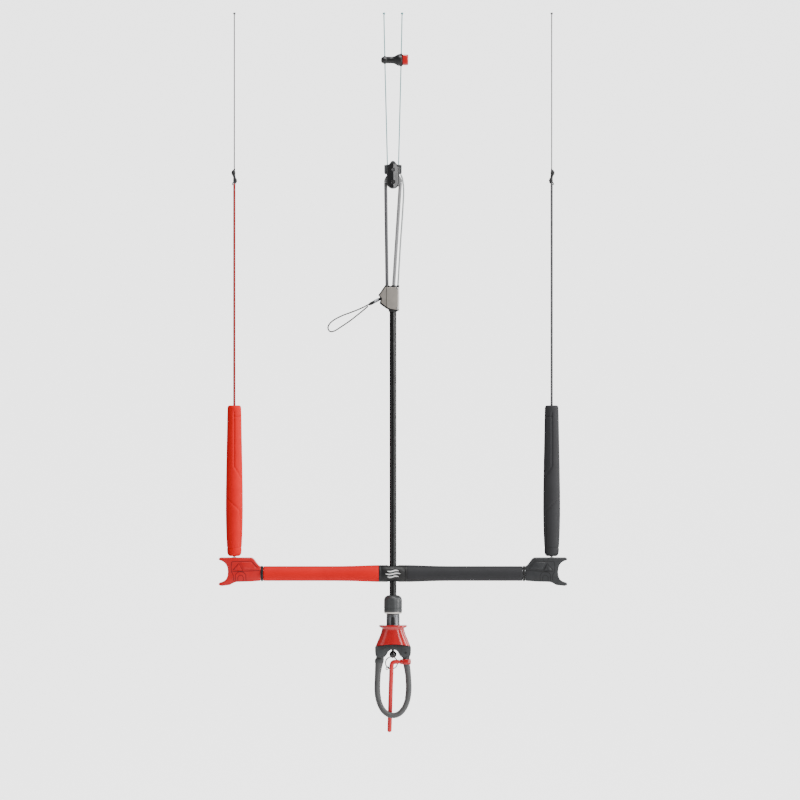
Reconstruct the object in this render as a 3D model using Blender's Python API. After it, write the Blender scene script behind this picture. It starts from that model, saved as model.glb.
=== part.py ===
"""Kitesurf control bar, hung by its two front lines.

Built upright in metres: +Z up, the rider stands at -Y, and +X is to the right as seen by the rider.
The origin is the middle of the two front lines' cut upper ends.
Every size below is in millimetres and is turned into metres in one place, mesh_object and cord.
"""
import math

import bmesh
import bpy
from mathutils import Vector

MM = 0.001
GAP = 0.3                     # running clearance between two pieces

# front lines and their separator
LINE_DIAMETER = 1.7
KNOT_HEIGHT = 3.0
KNOT_RADIUS = 1.9
LINE_X_TOP = 13.6
LINE_X_SEPARATOR = 12.2
LINE_X_BLOCK = 8.3
SEPARATOR_Z = -71.3
SEPARATOR_NECK_RADIUS = 5.15
SEPARATOR_BELL_RADIUS = 9.0

# trim block
BLOCK_TOP_Z = -222.5
SHOULDER_X = 13.2
SHOULDER_Z = -242.6
EYE_Z = -236.0
SHEAVE_Z = -254.3
ROPE_DIAMETER = 5.0
ROPE_RUN_RADIUS = 11.0        # middle of the rope round the sheave
CHEEK_INNER_Y = 5.3
CHEEK_OUTER_Y = 8.6

# trim cleat and its tail
CLEAT_TOP_Z = -410.0
LEG_END_Z = -409.5
CLEAT_HALF_DEPTH = 5.5
PLATE_THICKNESS = 1.6
TAIL_WAY = (-0.8276, -0.34, -0.4467)  # the way the tail leaves the cleat: out, forward and down

# depower tube and stopper
TUBE_RADIUS = 5.2
TUBE_BORE = 3.9
TUBE_TOP_Z = -449.0
TUBE_END_Z = -879.3
STOPPER_RADIUS = 13.6
STOPPER_TOP_Z = -873.9
STOPPER_END_Z = -901.4

# bar
BAR_Z = -841.5
BLOCK_HALF_LENGTH = 20.9
BLOCK_RADIUS = 12.7
GRIP_RADIUS = 11.1
GRIP_END_X = 194.6
CORE_RADIUS = 8.0
CORE_BORE = 6.5
CAP_START_X = 198.4
CAP_TOP_Z = -817.4
CAP_HALF_DEPTH = 10.8
NOTCH_X = 247.3
BUSH_RADIUS = 8.5
BUSH_HALF_HEIGHT = 5.0

# floats, leaders and steering lines
FLOAT_X = 238.0
FLOAT_TOP_Z = -589.2
FLOAT_FOOT_Z = -815.3
LEADER_DIAMETER = 3.6
LEADER_TOP_Z = -256.6
PIGTAIL_TOP_Z = -234.3
STEERING_DIAMETER = 1.8

# quick release and chicken loop
NECK_RADIUS = 9.9
NECK_SHOULDER_Z = -919.8
HANDLE_TOP_Z = -918.5
HANDLE_SEAT_Z = -944.0
HANDLE_END_Z = -947.0
HANDLE_ARCH = 3.2             # how much lower the handle's sides reach than its middle
FORK_HALF_WIDTH = 27.0
FORK_END_Z = -966.8
FORK_HALF_DEPTH = 7.2
PIN_X = 19.4
PIN_Z = -960.0
BALL_RADIUS = 5.4
BALL_Z = -962.7
LOOP_HALF_WIDTH = 23.6        # middle of the tube
LOOP_WIDEST_Z = -1013.0
LOOP_BOTTOM_Z = -1054.2
LOOP_RADIUS = 4.4
FLAT_HALF_ANGLE = 28.0        # half of the flat on the inner side of the loop's tube
ARM_Y = -3.0
ARM_Z = -973.8
RING_CENTRE = (-2.3, 7.4, -976.0)
RING_RADIUS = 9.0
RING_WIRE = 0.6

MIDDLE = (0.0, 0.0, 0.0)
SIDES = (("left", -1), ("right", 1))


def material(name, colour, metallic=0.0, roughness=0.5):
    """A plain Principled material."""
    made = bpy.data.materials.new(name)
    made.use_nodes = True
    shader = made.node_tree.nodes["Principled BSDF"]
    shader.inputs["Base Color"].default_value = (*colour, 1.0)
    shader.inputs["Metallic"].default_value = metallic
    shader.inputs["Roughness"].default_value = roughness
    made.diffuse_color = (*colour, 1.0)
    return made


def mesh_object(name, points, faces, look, pivot=MIDDLE):
    """One closed body with its origin at pivot, its faces turned outward."""
    mesh = bpy.data.meshes.new(name)
    centre = Vector(pivot)
    mesh.from_pydata([(Vector(p) - centre) * MM for p in points], [], faces)
    work = bmesh.new()
    work.from_mesh(mesh)
    bmesh.ops.recalc_face_normals(work, faces=work.faces)
    work.to_mesh(mesh)
    work.free()
    mesh.shade_smooth()
    mesh.materials.append(look)
    made = bpy.data.objects.new(name, mesh)
    made.location = centre * MM
    bpy.context.scene.collection.objects.link(made)
    return made


def skin(rings, closed=False):
    """Points and faces over rings of equal count. A closed skin joins the last ring to the first."""
    count = len(rings[0])
    points = [p for ring in rings for p in ring]
    faces = []
    spans = len(rings) if closed else len(rings) - 1
    for i in range(spans):
        here = i * count
        there = ((i + 1) % len(rings)) * count
        for k in range(count):
            n = (k + 1) % count
            faces.append((here + k, here + n, there + n, there + k))
    if not closed:
        faces.append(tuple(range(count)))
        faces.append(tuple(range((len(rings) - 1) * count, len(rings) * count)))
    return points, faces


def loft(name, rings, look, pivot=MIDDLE, closed=False):
    points, faces = skin(rings, closed)
    return mesh_object(name, points, faces, look, pivot)


def turned(direction, a, b, along):
    """A point from its two places across an axis and its place along it."""
    if direction == "X":
        return (along, a, b)
    if direction == "Y":
        return (a, along, b)
    return (a, b, along)


def rounded_ring(direction, centre, along, half_a, half_b, power=2.0, count=24):
    """A superellipse across an axis. The first half width is X or Y, the second is Y or Z."""
    ring = []
    for k in range(count):
        t = 2 * math.pi * (k + 0.5) / count
        c, s = math.cos(t), math.sin(t)
        a = half_a * math.copysign(abs(c) ** (2 / power), c)
        b = half_b * math.copysign(abs(s) ** (2 / power), s)
        ring.append(turned(direction, centre[0] + a, centre[1] + b, along))
    return ring


def lathe(name, direction, centre, profile, look, pivot=MIDDLE, count=24, hollow=False):
    """A turned body. The profile is (radius, place along the axis); a hollow one is a closed loop."""
    points, rows = [], []
    for radius, along in profile:
        if radius < 1e-6:
            rows.append([len(points)])
            points.append(turned(direction, centre[0], centre[1], along))
            continue
        rows.append(list(range(len(points), len(points) + count)))
        for k in range(count):
            t = 2 * math.pi * k / count
            a = centre[0] + radius * math.cos(t)
            b = centre[1] + radius * math.sin(t)
            points.append(turned(direction, a, b, along))
    faces = []
    pairs = list(zip(rows, rows[1:]))
    if hollow:
        pairs.append((rows[-1], rows[0]))
    for low, high in pairs:
        for k in range(count):
            n = (k + 1) % count
            if len(low) == 1 and len(high) == 1:
                break
            if len(low) == 1:
                faces.append((low[0], high[n], high[k]))
            elif len(high) == 1:
                faces.append((low[k], low[n], high[0]))
            else:
                faces.append((low[k], low[n], high[n], high[k]))
    if not hollow:
        for row in (rows[0], rows[-1]):
            if len(row) > 1:
                faces.append(tuple(row))
    return mesh_object(name, points, faces, look, pivot)


def inset(outline, amount):
    """The outline moved inward along each corner's middle line."""
    area = 0.0
    for (x0, z0), (x1, z1) in zip(outline, outline[1:] + outline[:1]):
        area += x0 * z1 - x1 * z0
    way = 1.0 if area > 0 else -1.0
    moved = []
    for i, here in enumerate(outline):
        before = Vector(outline[i - 1])
        after = Vector(outline[(i + 1) % len(outline)])
        into = (Vector(here) - before).normalized()
        out = (after - Vector(here)).normalized()
        n0 = Vector((-into.y, into.x)) * way
        n1 = Vector((-out.y, out.x)) * way
        middle = (n0 + n1).normalized()
        reach = amount / max(middle.dot(n0), 0.5)
        moved.append((here[0] + middle.x * reach, here[1] + middle.y * reach))
    return moved


def prism(name, outline, y_from, y_to, edge, look, pivot=MIDDLE):
    """An outline in X and Z made solid along Y, with its two rims rounded over by edge."""
    steps = [(y_from, edge), (y_from + edge, 0.0), (y_to - edge, 0.0), (y_to, edge)]
    rings = []
    for y, amount in steps:
        shape = inset(outline, amount) if amount else outline
        rings.append([(x, y, z) for x, z in shape])
    return loft(name, rings, look, pivot)


def arc(centre, radius, start, end, steps):
    """Points on an arc in X and Z, angles in degrees from +X towards +Z."""
    points = []
    for i in range(steps + 1):
        t = math.radians(start + (end - start) * i / steps)
        points.append((centre[0] + radius * math.cos(t), centre[1] + radius * math.sin(t)))
    return points


def smooth_path(points, steps):
    """A smooth curve through the points, with so many steps between each two."""
    places = [Vector(p) for p in points]
    places = [2 * places[0] - places[1]] + places + [2 * places[-1] - places[-2]]
    path = []
    for i in range(1, len(places) - 2):
        a, b, c, d = places[i - 1:i + 3]
        for k in range(steps):
            t = k / steps
            path.append(0.5 * (2 * b + (c - a) * t + (2 * a - 5 * b + 4 * c - d) * t * t
                               + (3 * b - a - 3 * c + d) * t ** 3))
    path.append(places[-2])
    return path


def cord(name, path, diameter, look, pivot=MIDDLE, closed=False):
    """A round cord along a path."""
    curve = bpy.data.curves.new(name, "CURVE")
    curve.dimensions = "3D"
    curve.bevel_depth = diameter * MM / 2
    curve.bevel_resolution = 2
    curve.use_fill_caps = True
    spline = curve.splines.new("POLY")
    spline.points.add(len(path) - 1)
    centre = Vector(pivot)
    for point, place in zip(spline.points, path):
        point.co = (*((Vector(place) - centre) * MM), 1.0)
    spline.use_cyclic_u = closed
    spline.use_smooth = True
    curve.materials.append(look)
    made = bpy.data.objects.new(name, curve)
    made.location = centre * MM
    bpy.context.scene.collection.objects.link(made)
    return made


def swept(name, path, sizes, look, pivot=MIDDLE, count=14):
    """A round tube whose radius changes along its path, in one closed body."""
    rings = []
    side = Vector((0.0, 1.0, 0.0))
    for i, (place, radius) in enumerate(zip(path, sizes)):
        ahead = Vector(path[min(i + 1, len(path) - 1)])
        behind = Vector(path[max(i - 1, 0)])
        along = (ahead - behind).normalized()
        side = (side - along * side.dot(along)).normalized()
        across = along.cross(side)
        ring = []
        for k in range(count):
            t = 2 * math.pi * k / count
            ring.append(Vector(place) + radius * (math.cos(t) * side + math.sin(t) * across))
        rings.append(ring)
    return loft(name, rings, look, pivot)


def torus(name, centre, normal, radius, wire, look, pivot=MIDDLE, count=32, around=8):
    """A wire ring."""
    axis = Vector(normal).normalized()
    first = axis.orthogonal().normalized()
    second = axis.cross(first)
    rings = []
    for i in range(count):
        t = 2 * math.pi * i / count
        out = math.cos(t) * first + math.sin(t) * second
        ring = []
        for k in range(around):
            u = 2 * math.pi * k / around
            ring.append(Vector(centre) + out * (radius + wire * math.cos(u)) + axis * wire * math.sin(u))
        rings.append(ring)
    return loft(name, rings, look, pivot, closed=True)


def boolean(body, other, operation):
    """Cut the other body out of this one, or add it. The other body is a hidden helper."""
    step = body.modifiers.new(other.name, "BOOLEAN")
    step.operation = operation
    step.solver = "EXACT"
    step.object = other
    other.hide_render = True
    other.display_type = "WIRE"
    return body


def cutter(name, direction, centre, radius, start, end, count=24):
    """A round cutter along an axis."""
    profile = [(0.0, start), (radius, start), (radius, end), (0.0, end)]
    return lathe("cut_" + name, direction, centre, profile, HELPER, count=count)


def box_cutter(name, low, high):
    rings = []
    for y in (low[1], high[1]):
        rings.append([(low[0], y, low[2]), (high[0], y, low[2]), (high[0], y, high[2]), (low[0], y, high[2])])
    return loft("cut_" + name, rings, HELPER)


def sphere_arc(radius, centre_z, start, end, steps):
    """(radius, place) pairs on a sphere, angles in degrees above its middle."""
    pairs = []
    for i in range(steps + 1):
        t = math.radians(start + (end - start) * i / steps)
        pairs.append((abs(radius * math.cos(t)) if abs(abs(start + (end - start) * i / steps) - 90) > 1e-6
                      else 0.0, centre_z + radius * math.sin(t)))
    return pairs


def front_lines():
    """The two front lines with their knots, and the separator that keeps them apart."""
    socket_z = BLOCK_TOP_Z - 9.0
    for side, way in SIDES:
        path = smooth_path([
            (way * LINE_X_TOP, 0.0, -KNOT_HEIGHT - GAP),
            (way * LINE_X_SEPARATOR, 0.0, SEPARATOR_Z),
            (way * LINE_X_BLOCK, 0.0, socket_z),
        ], 5)
        cord("front_line_" + side, path, LINE_DIAMETER, PALE_LINE)
        line_knot("front_knot_" + side, way * LINE_X_TOP, PALE_LINE, MIDDLE)

    bell = [(0.0, -18.0), (2.6, -17.7), (4.3, -16.6), (SEPARATOR_NECK_RADIUS, -14.6)]
    bell += [(SEPARATOR_NECK_RADIUS, -6.0), (SEPARATOR_NECK_RADIUS, 0.0), (5.9, 3.0), (7.6, 5.6)]
    bell += [(8.7, 7.4), (SEPARATOR_BELL_RADIUS, 9.6), (SEPARATOR_BELL_RADIUS, 13.2), (8.4, 13.9), (0.0, 13.9)]
    separator = lathe("line_separator", "X", (0.0, SEPARATOR_Z), bell, DARK_PLASTIC, count=18)
    for side, way in SIDES:
        hole = cutter("separator_" + side, "Z", (way * LINE_X_SEPARATOR, 0.0), 1.25,
                      SEPARATOR_Z - 12, SEPARATOR_Z + 12, 12)
        boolean(separator, hole, "DIFFERENCE")

    rings = []
    for x, half in ((14.2, 7.0), (14.9, 8.0), (22.0, 8.0), (22.9, 7.3), (23.1, 6.4)):
        rings.append(rounded_ring("X", (0.0, SEPARATOR_Z), x, half - 0.6, half, 5.0, 16))
    loft("separator_tab", rings, RED_PLASTIC)


def line_knot(name, x, look, pivot):
    """A small stopper knot on a line's cut end."""
    profile = [(0.0, -KNOT_HEIGHT), (1.3, -KNOT_HEIGHT), (KNOT_RADIUS, -2.2), (KNOT_RADIUS, -1.2), (1.5, -0.3),
               (0.9, 0.0), (0.0, 0.0)]
    lathe(name, "Z", (x, 0.0), profile, look, pivot, count=12)


def trim_block():
    """The block that the front lines hold and that the trim rope runs through."""
    dome = [(0.0, BLOCK_TOP_Z), (-4.0, -223.1), (-8.0, -225.1), (-11.6, -228.0), (-SHOULDER_X, -230.8)]
    dome += [(-SHOULDER_X, -240.6), (-12.2, SHOULDER_Z), (-8.2, SHOULDER_Z)]
    under = arc((0.0, SHEAVE_Z), 14.3, 125, 55, 6)
    outline = dome + under[1:-1] + [(-x, z) for x, z in reversed(dome)][:-1]
    crosshead = prism("block_crosshead", outline, -5.0, 5.0, 1.2, DARK_PLASTIC)
    for side, way in SIDES:
        socket = cutter("crosshead_" + side, "Z", (way * (LINE_X_BLOCK + 0.1), 0.0), 1.3, -234.0, -220.0, 12)
        boolean(crosshead, socket, "DIFFERENCE")
    eye = cutter("block_eye", "Y", (0.0, EYE_Z), 2.65, -12.0, 12.0, 14)
    boolean(crosshead, eye, "DIFFERENCE")

    axle_hole = cutter("block_axle", "Y", (0.0, SHEAVE_Z), 2.55, -12.0, 12.0, 14)
    cheek = arc((0.0, EYE_Z + 0.5), 9.5, 0, 180, 10) + arc((0.0, SHEAVE_Z), 9.9, 180, 360, 10)
    for name, near, far in (("front", -CHEEK_OUTER_Y, -CHEEK_INNER_Y), ("back", CHEEK_INNER_Y, CHEEK_OUTER_Y)):
        plate = prism("block_cheek_" + name, cheek, near, far, 0.9, BLACK_PLASTIC)
        boolean(plate, eye, "DIFFERENCE")
        boolean(plate, axle_hole, "DIFFERENCE")

    rivet = [(1.7, -9.5), (3.0, -9.5), (3.2, -9.2), (3.2, -8.9), (2.3, -8.9)]
    rivet += [(r, -y) for r, y in reversed(rivet)]
    lathe("block_eyelet", "Y", (0.0, EYE_Z), rivet, STEEL, count=14, hollow=True)
    axle = [(0.0, -8.0), (1.9, -8.0), (2.2, -7.7), (2.2, 7.7), (1.9, 8.0), (0.0, 8.0)]
    lathe("block_axle", "Y", (0.0, SHEAVE_Z), axle, STEEL, count=14)

    groove = []
    for i in range(7):
        t = math.radians(-60 + 120 * i / 6)
        groove.append((ROPE_RUN_RADIUS - 2.8 * math.cos(t), 2.8 * math.sin(t)))
    sheave = [(2.5, -3.6), (9.6, -3.6)] + groove + [(9.6, 3.6), (2.5, 3.6)]
    lathe("block_sheave", "Y", (0.0, SHEAVE_Z), sheave, STEEL, (0.0, 0.0, SHEAVE_Z), 24, hollow=True)

    turn = [(x, 0.0, z) for x, z in arc((0.0, SHEAVE_Z), ROPE_RUN_RADIUS, 0, 180, 12)]
    swept("trim_turn", turn, [ROPE_DIAMETER / 2] * len(turn), GREY_ROPE, count=12)


def trim_ropes():
    """The two legs of the trim rope and the thin safety line beside them."""
    start = SHEAVE_Z - 3 * GAP
    for side, top, end in (("left", -ROPE_RUN_RADIUS, -9.0), ("right", ROPE_RUN_RADIUS, 1.0)):
        path = [Vector((top, 0.0, start)).lerp(Vector((end, 0.0, LEG_END_Z)), i / 6) for i in range(7)]
        cord("trim_leg_" + side, path, ROPE_DIAMETER, GREY_ROPE)
    safety = smooth_path([(11.6, -1.5, SHOULDER_Z - 0.5), (14.5, -1.5, -251.0), (15.9, -1.0, -269.0),
                          (14.4, 0.0, -300.0), (11.0, 0.0, -350.0), (7.5, 0.0, LEG_END_Z)], 3)
    cord("safety_line", safety, 2.5, PALE_LINE)


def cleat():
    """The cleat that grips the trim rope: a body between two plates, held by two screws."""
    outline = [(-12.2, CLEAT_TOP_Z), (9.4, -410.8), (9.4, -447.0), (5.7, -448.2), (-6.5, -446.3), (-13.4, -441.9),
               (-20.3, -436.5), (-19.0, -432.0), (-18.2, -428.7), (-22.2, -424.2), (-20.0, -420.0)]
    body = prism("cleat_body", outline, -CLEAT_HALF_DEPTH, CLEAT_HALF_DEPTH, 1.0, BLACK_PLASTIC)
    near = CLEAT_HALF_DEPTH + GAP
    far = near + PLATE_THICKNESS
    plate = inset(outline, 1.0)
    front = prism("cleat_plate_front", plate, -far, -near, 0.4, GREY_METAL)
    prism("cleat_plate_back", plate, near, far, 0.4, GREY_METAL)
    for name, z in (("upper", -413.6), ("lower", -443.8)):
        hole = cutter("cleat_" + name, "Y", (6.4, z), 1.2, -9.0, -2.5, 12)
        boolean(body, hole, "DIFFERENCE")
        boolean(front, hole, "DIFFERENCE")
        head = -far - GAP
        screw = [(0.0, head - 0.8), (1.1, head - 0.8), (1.6, head - 0.3), (1.6, head), (0.9, head), (0.9, -3.0),
                 (0.0, -3.0)]
        lathe("cleat_screw_" + name, "Y", (6.4, z), screw, STEEL, count=16)


def trim_tail():
    """The free end of the trim rope: ferrule, wrapping and pull loop."""
    pivot = (-20.9, 0.0, -430.2)

    def along(distance):
        return tuple(start + way * distance for start, way in zip(pivot, TAIL_WAY))

    swept("tail_ferrule", [along(0.0), along(0.6), along(9.6), along(10.1)], [1.7, 2.1, 2.1, 1.8],
          STEEL, pivot)
    swept("tail_wrap", [along(10.4), along(10.9), along(14.9), along(17.4), along(18.1)], [2.0, 2.4, 2.4, 2.1, 1.2],
          BLACK_PLASTIC, pivot)
    # the loop stands forward, so the bar slides up behind it
    loop = [(-36.6, -6.4, -438.2), (-48.3, -11.4, -444.2), (-63.6, -14.2, -450.4), (-75.0, -14.3, -454.6),
            (-86.6, -14.3, -460.4), (-94.2, -14.3, -466.4), (-97.2, -14.3, -472.4), (-95.6, -14.3, -477.6),
            (-91.6, -14.3, -479.0), (-86.2, -14.3, -477.2), (-78.6, -14.3, -472.4), (-63.4, -14.2, -462.0),
            (-48.3, -11.8, -450.0), (-37.6, -6.6, -441.0)]
    cord("pull_loop", smooth_path(loop, 2), 1.5, BLACK_ROPE, pivot)


def depower_line():
    """The tube that the bar slides on, the rope in it, and the stopper at its lower end."""
    tube = [(TUBE_BORE, TUBE_TOP_Z), (TUBE_RADIUS, TUBE_TOP_Z), (TUBE_RADIUS, TUBE_END_Z), (TUBE_BORE, TUBE_END_Z)]
    lathe("depower_tube", "Z", (0.0, 0.0), tube, BLACK_PLASTIC, hollow=True)
    rope = [(0.0, TUBE_TOP_Z), (ROPE_DIAMETER / 2, TUBE_TOP_Z), (ROPE_DIAMETER / 2, -882.2), (0.0, -882.2)]
    lathe("depower_rope", "Z", (0.0, 0.0), rope, GREY_ROPE, count=12)
    barrel = [(0.0, -882.6), (5.5, -882.6), (5.5, -874.5), (6.4, STOPPER_TOP_Z), (9.6, -874.9),
              (12.6, -877.6), (STOPPER_RADIUS, -880.8), (STOPPER_RADIUS, -898.4), (13.0, -900.4),
              (11.6, STOPPER_END_Z), (4.0, STOPPER_END_Z), (4.0, -895.2), (8.2, -895.2), (8.2, -886.2), (0.0, -886.2)]
    lathe("stopper_barrel", "Z", (0.0, 0.0), barrel, DARK_PLASTIC, count=24)


def bar():
    """The bar with its centre block, tubes, grips, rings and end caps, and the bush that it tilts on."""
    pivot = (0.0, 0.0, BAR_Z)
    reach = BUSH_HALF_HEIGHT
    top = math.degrees(math.asin(reach / BUSH_RADIUS))
    bush = [(TUBE_RADIUS + GAP, BAR_Z - reach)] + sphere_arc(BUSH_RADIUS, BAR_Z, -top, top, 6)
    bush += [(TUBE_RADIUS + GAP, BAR_Z + reach)]
    lathe("centre_bush", "Z", (0.0, 0.0), bush, WHITE_PLASTIC, pivot, 20, hollow=True)

    rings = []
    for x, less in ((-1.0, 0.9), (-0.955, 0.0), (0.955, 0.0), (1.0, 0.9)):
        radius = BLOCK_RADIUS - less
        rings.append(rounded_ring("X", (0.0, BAR_Z), x * BLOCK_HALF_LENGTH, radius, radius, 2.2, 24))
    block = loft("centre_block", rings, BLACK_PLASTIC, pivot)
    seat = [(0.0, BAR_Z - 14), (9.6, BAR_Z - 14), (7.8, BAR_Z - 7), (7.8, BAR_Z - 4.07)]
    edge = math.degrees(math.asin(4.07 / 8.95))
    seat += sphere_arc(8.95, BAR_Z, -edge, edge, 6)[1:-1]
    seat += [(7.8, BAR_Z + 4.07), (7.8, BAR_Z + 7), (9.6, BAR_Z + 14), (0.0, BAR_Z + 14)]
    boolean(block, lathe("cut_bush_seat", "Z", (0.0, 0.0), seat, HELPER, count=20), "DIFFERENCE")

    for side, way in SIDES:
        socket = cutter("socket_" + side, "X", (0.0, BAR_Z), CORE_RADIUS + 0.4, way * 12.0, way * 22.0)
        boolean(block, socket, "DIFFERENCE")
        core = [(CORE_BORE, way * 12.4), (CORE_RADIUS, way * 12.4), (CORE_RADIUS, way * 204.0), (CORE_BORE, way * 204.0)]
        lathe("core_tube_" + side, "X", (0.0, BAR_Z), core, GREY_METAL, pivot, hollow=True)

        bore = CORE_RADIUS + GAP
        grip = [(bore, 21.3), (12.2, 21.3), (12.7, 22.1), (12.4, 34.0), (11.8, 52.0), (11.25, 72.0),
                (GRIP_RADIUS, 92.0), (GRIP_RADIUS, 194.0), (10.6, GRIP_END_X), (bore, GRIP_END_X)]
        look = RED_FOAM if way < 0 else GREY_FOAM
        lathe("grip_" + side, "X", (0.0, BAR_Z), [(r, way * x) for r, x in grip], look, pivot, 24, hollow=True)

        band = [(bore, 195.0), (11.3, 195.0), (11.6, 195.4), (11.6, 197.6), (11.3, 198.0), (bore, 198.0)]
        lathe("bar_ring_" + side, "X", (0.0, BAR_Z), [(r, way * x) for r, x in band], BLACK_PLASTIC, pivot, 24,
              hollow=True)
        end_cap(side, way, pivot)


def end_cap(side, way, pivot):
    """A bar end: two horns that the lines are wound round, with a flat saddle between them."""
    horn = [(CAP_START_X, -831.0), (200.4, -830.0), (203.4, -826.8), (206.2, -822.4), (208.8, -819.0),
            (212.4, CAP_TOP_Z), (236.0, CAP_TOP_Z), (258.6, CAP_TOP_Z), (260.6, -818.2), (261.0, -819.7),
            (260.2, -821.2), (254.4, -824.8), (250.0, -829.4), (NOTCH_X, -834.4), (NOTCH_X, -845.2), (249.6, -849.8),
            (255.2, -853.3), (260.2, -855.2), (261.0, -857.2), (259.8, -859.2), (256.5, -859.9), (250.0, -859.2),
            (243.6, -857.6), (236.4, -854.4), (228.0, -853.8), (214.0, -853.2), (CAP_START_X, -852.2)]
    outline = [(way * x, z) for x, z in horn]
    look = RED_PLASTIC if way < 0 else DARK_PLASTIC
    cap = prism("end_cap_" + side, outline, -CAP_HALF_DEPTH, CAP_HALF_DEPTH, 1.3, look, pivot)
    socket = cutter("cap_" + side, "X", (0.0, BAR_Z), CORE_RADIUS + GAP, way * 190.0, way * 204.6)
    boolean(cap, socket, "DIFFERENCE")


def steering(side, way):
    """A float on its leader, the knot above it and the thin steering line."""
    x = way * FLOAT_X
    pivot = (x, 0.0, CAP_TOP_Z)
    bore = LEADER_DIAMETER / 2 + 0.4
    body = [(bore, FLOAT_TOP_Z), (7.6, FLOAT_TOP_Z), (9.4, -590.2), (10.3, -593.0), (11.3, -640.0),
            (12.3, -690.0), (12.85, -746.0), (12.3, -776.0), (11.1, -801.4), (10.6, -802.7), (11.0, -804.2),
            (10.6, -810.2), (9.3, -813.4), (6.4, FLOAT_FOOT_Z),
            (bore, FLOAT_FOOT_Z)]
    lathe("float_" + side, "Z", (x, 0.0), body, RED_FOAM if way < 0 else GREY_FOAM, pivot, 20, hollow=True)

    rope = [(0.0, LEADER_TOP_Z), (LEADER_DIAMETER / 2, LEADER_TOP_Z), (LEADER_DIAMETER / 2, -816.6), (0.0, -816.6)]
    lathe("leader_" + side, "Z", (x, 0.0), rope, RED_ROPE if way < 0 else GREY_ROPE, pivot, count=12)

    bulges = [(1.3, 0.0, PIGTAIL_TOP_Z), (1.6, 0.2, -236.2), (2.9, 1.0, -238.4), (3.3, 1.3, -240.6), (2.7, 0.9, -243.4),
              (2.2, 0.0, -246.4), (2.6, -0.6, -249.6), (3.2, -1.1, -252.6), (2.7, -0.7, -255.0), (1.7, 0.0, -256.3)]
    rings = []
    for radius, outward, z in bulges:
        rings.append(rounded_ring("Z", (x + way * outward, 0.0), z, radius, radius * 0.9, 2.0, 12))
    loft("pigtail_knot_" + side, rings, BLACK_ROPE, pivot)

    thin = [(0.0, -KNOT_HEIGHT - GAP), (STEERING_DIAMETER / 2, -KNOT_HEIGHT - GAP),
            (STEERING_DIAMETER / 2, PIGTAIL_TOP_Z + GAP), (0.0, PIGTAIL_TOP_Z + GAP)]
    lathe("steering_line_" + side, "Z", (x, 0.0), thin, GREY_ROPE, pivot, count=10)
    line_knot("steering_knot_" + side, x, GREY_ROPE, pivot)


def arch_z(x, level):
    """The height of the arched joint line between the release handle and the fork."""
    return level - HANDLE_ARCH * (x / 26.0) ** 2


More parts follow.
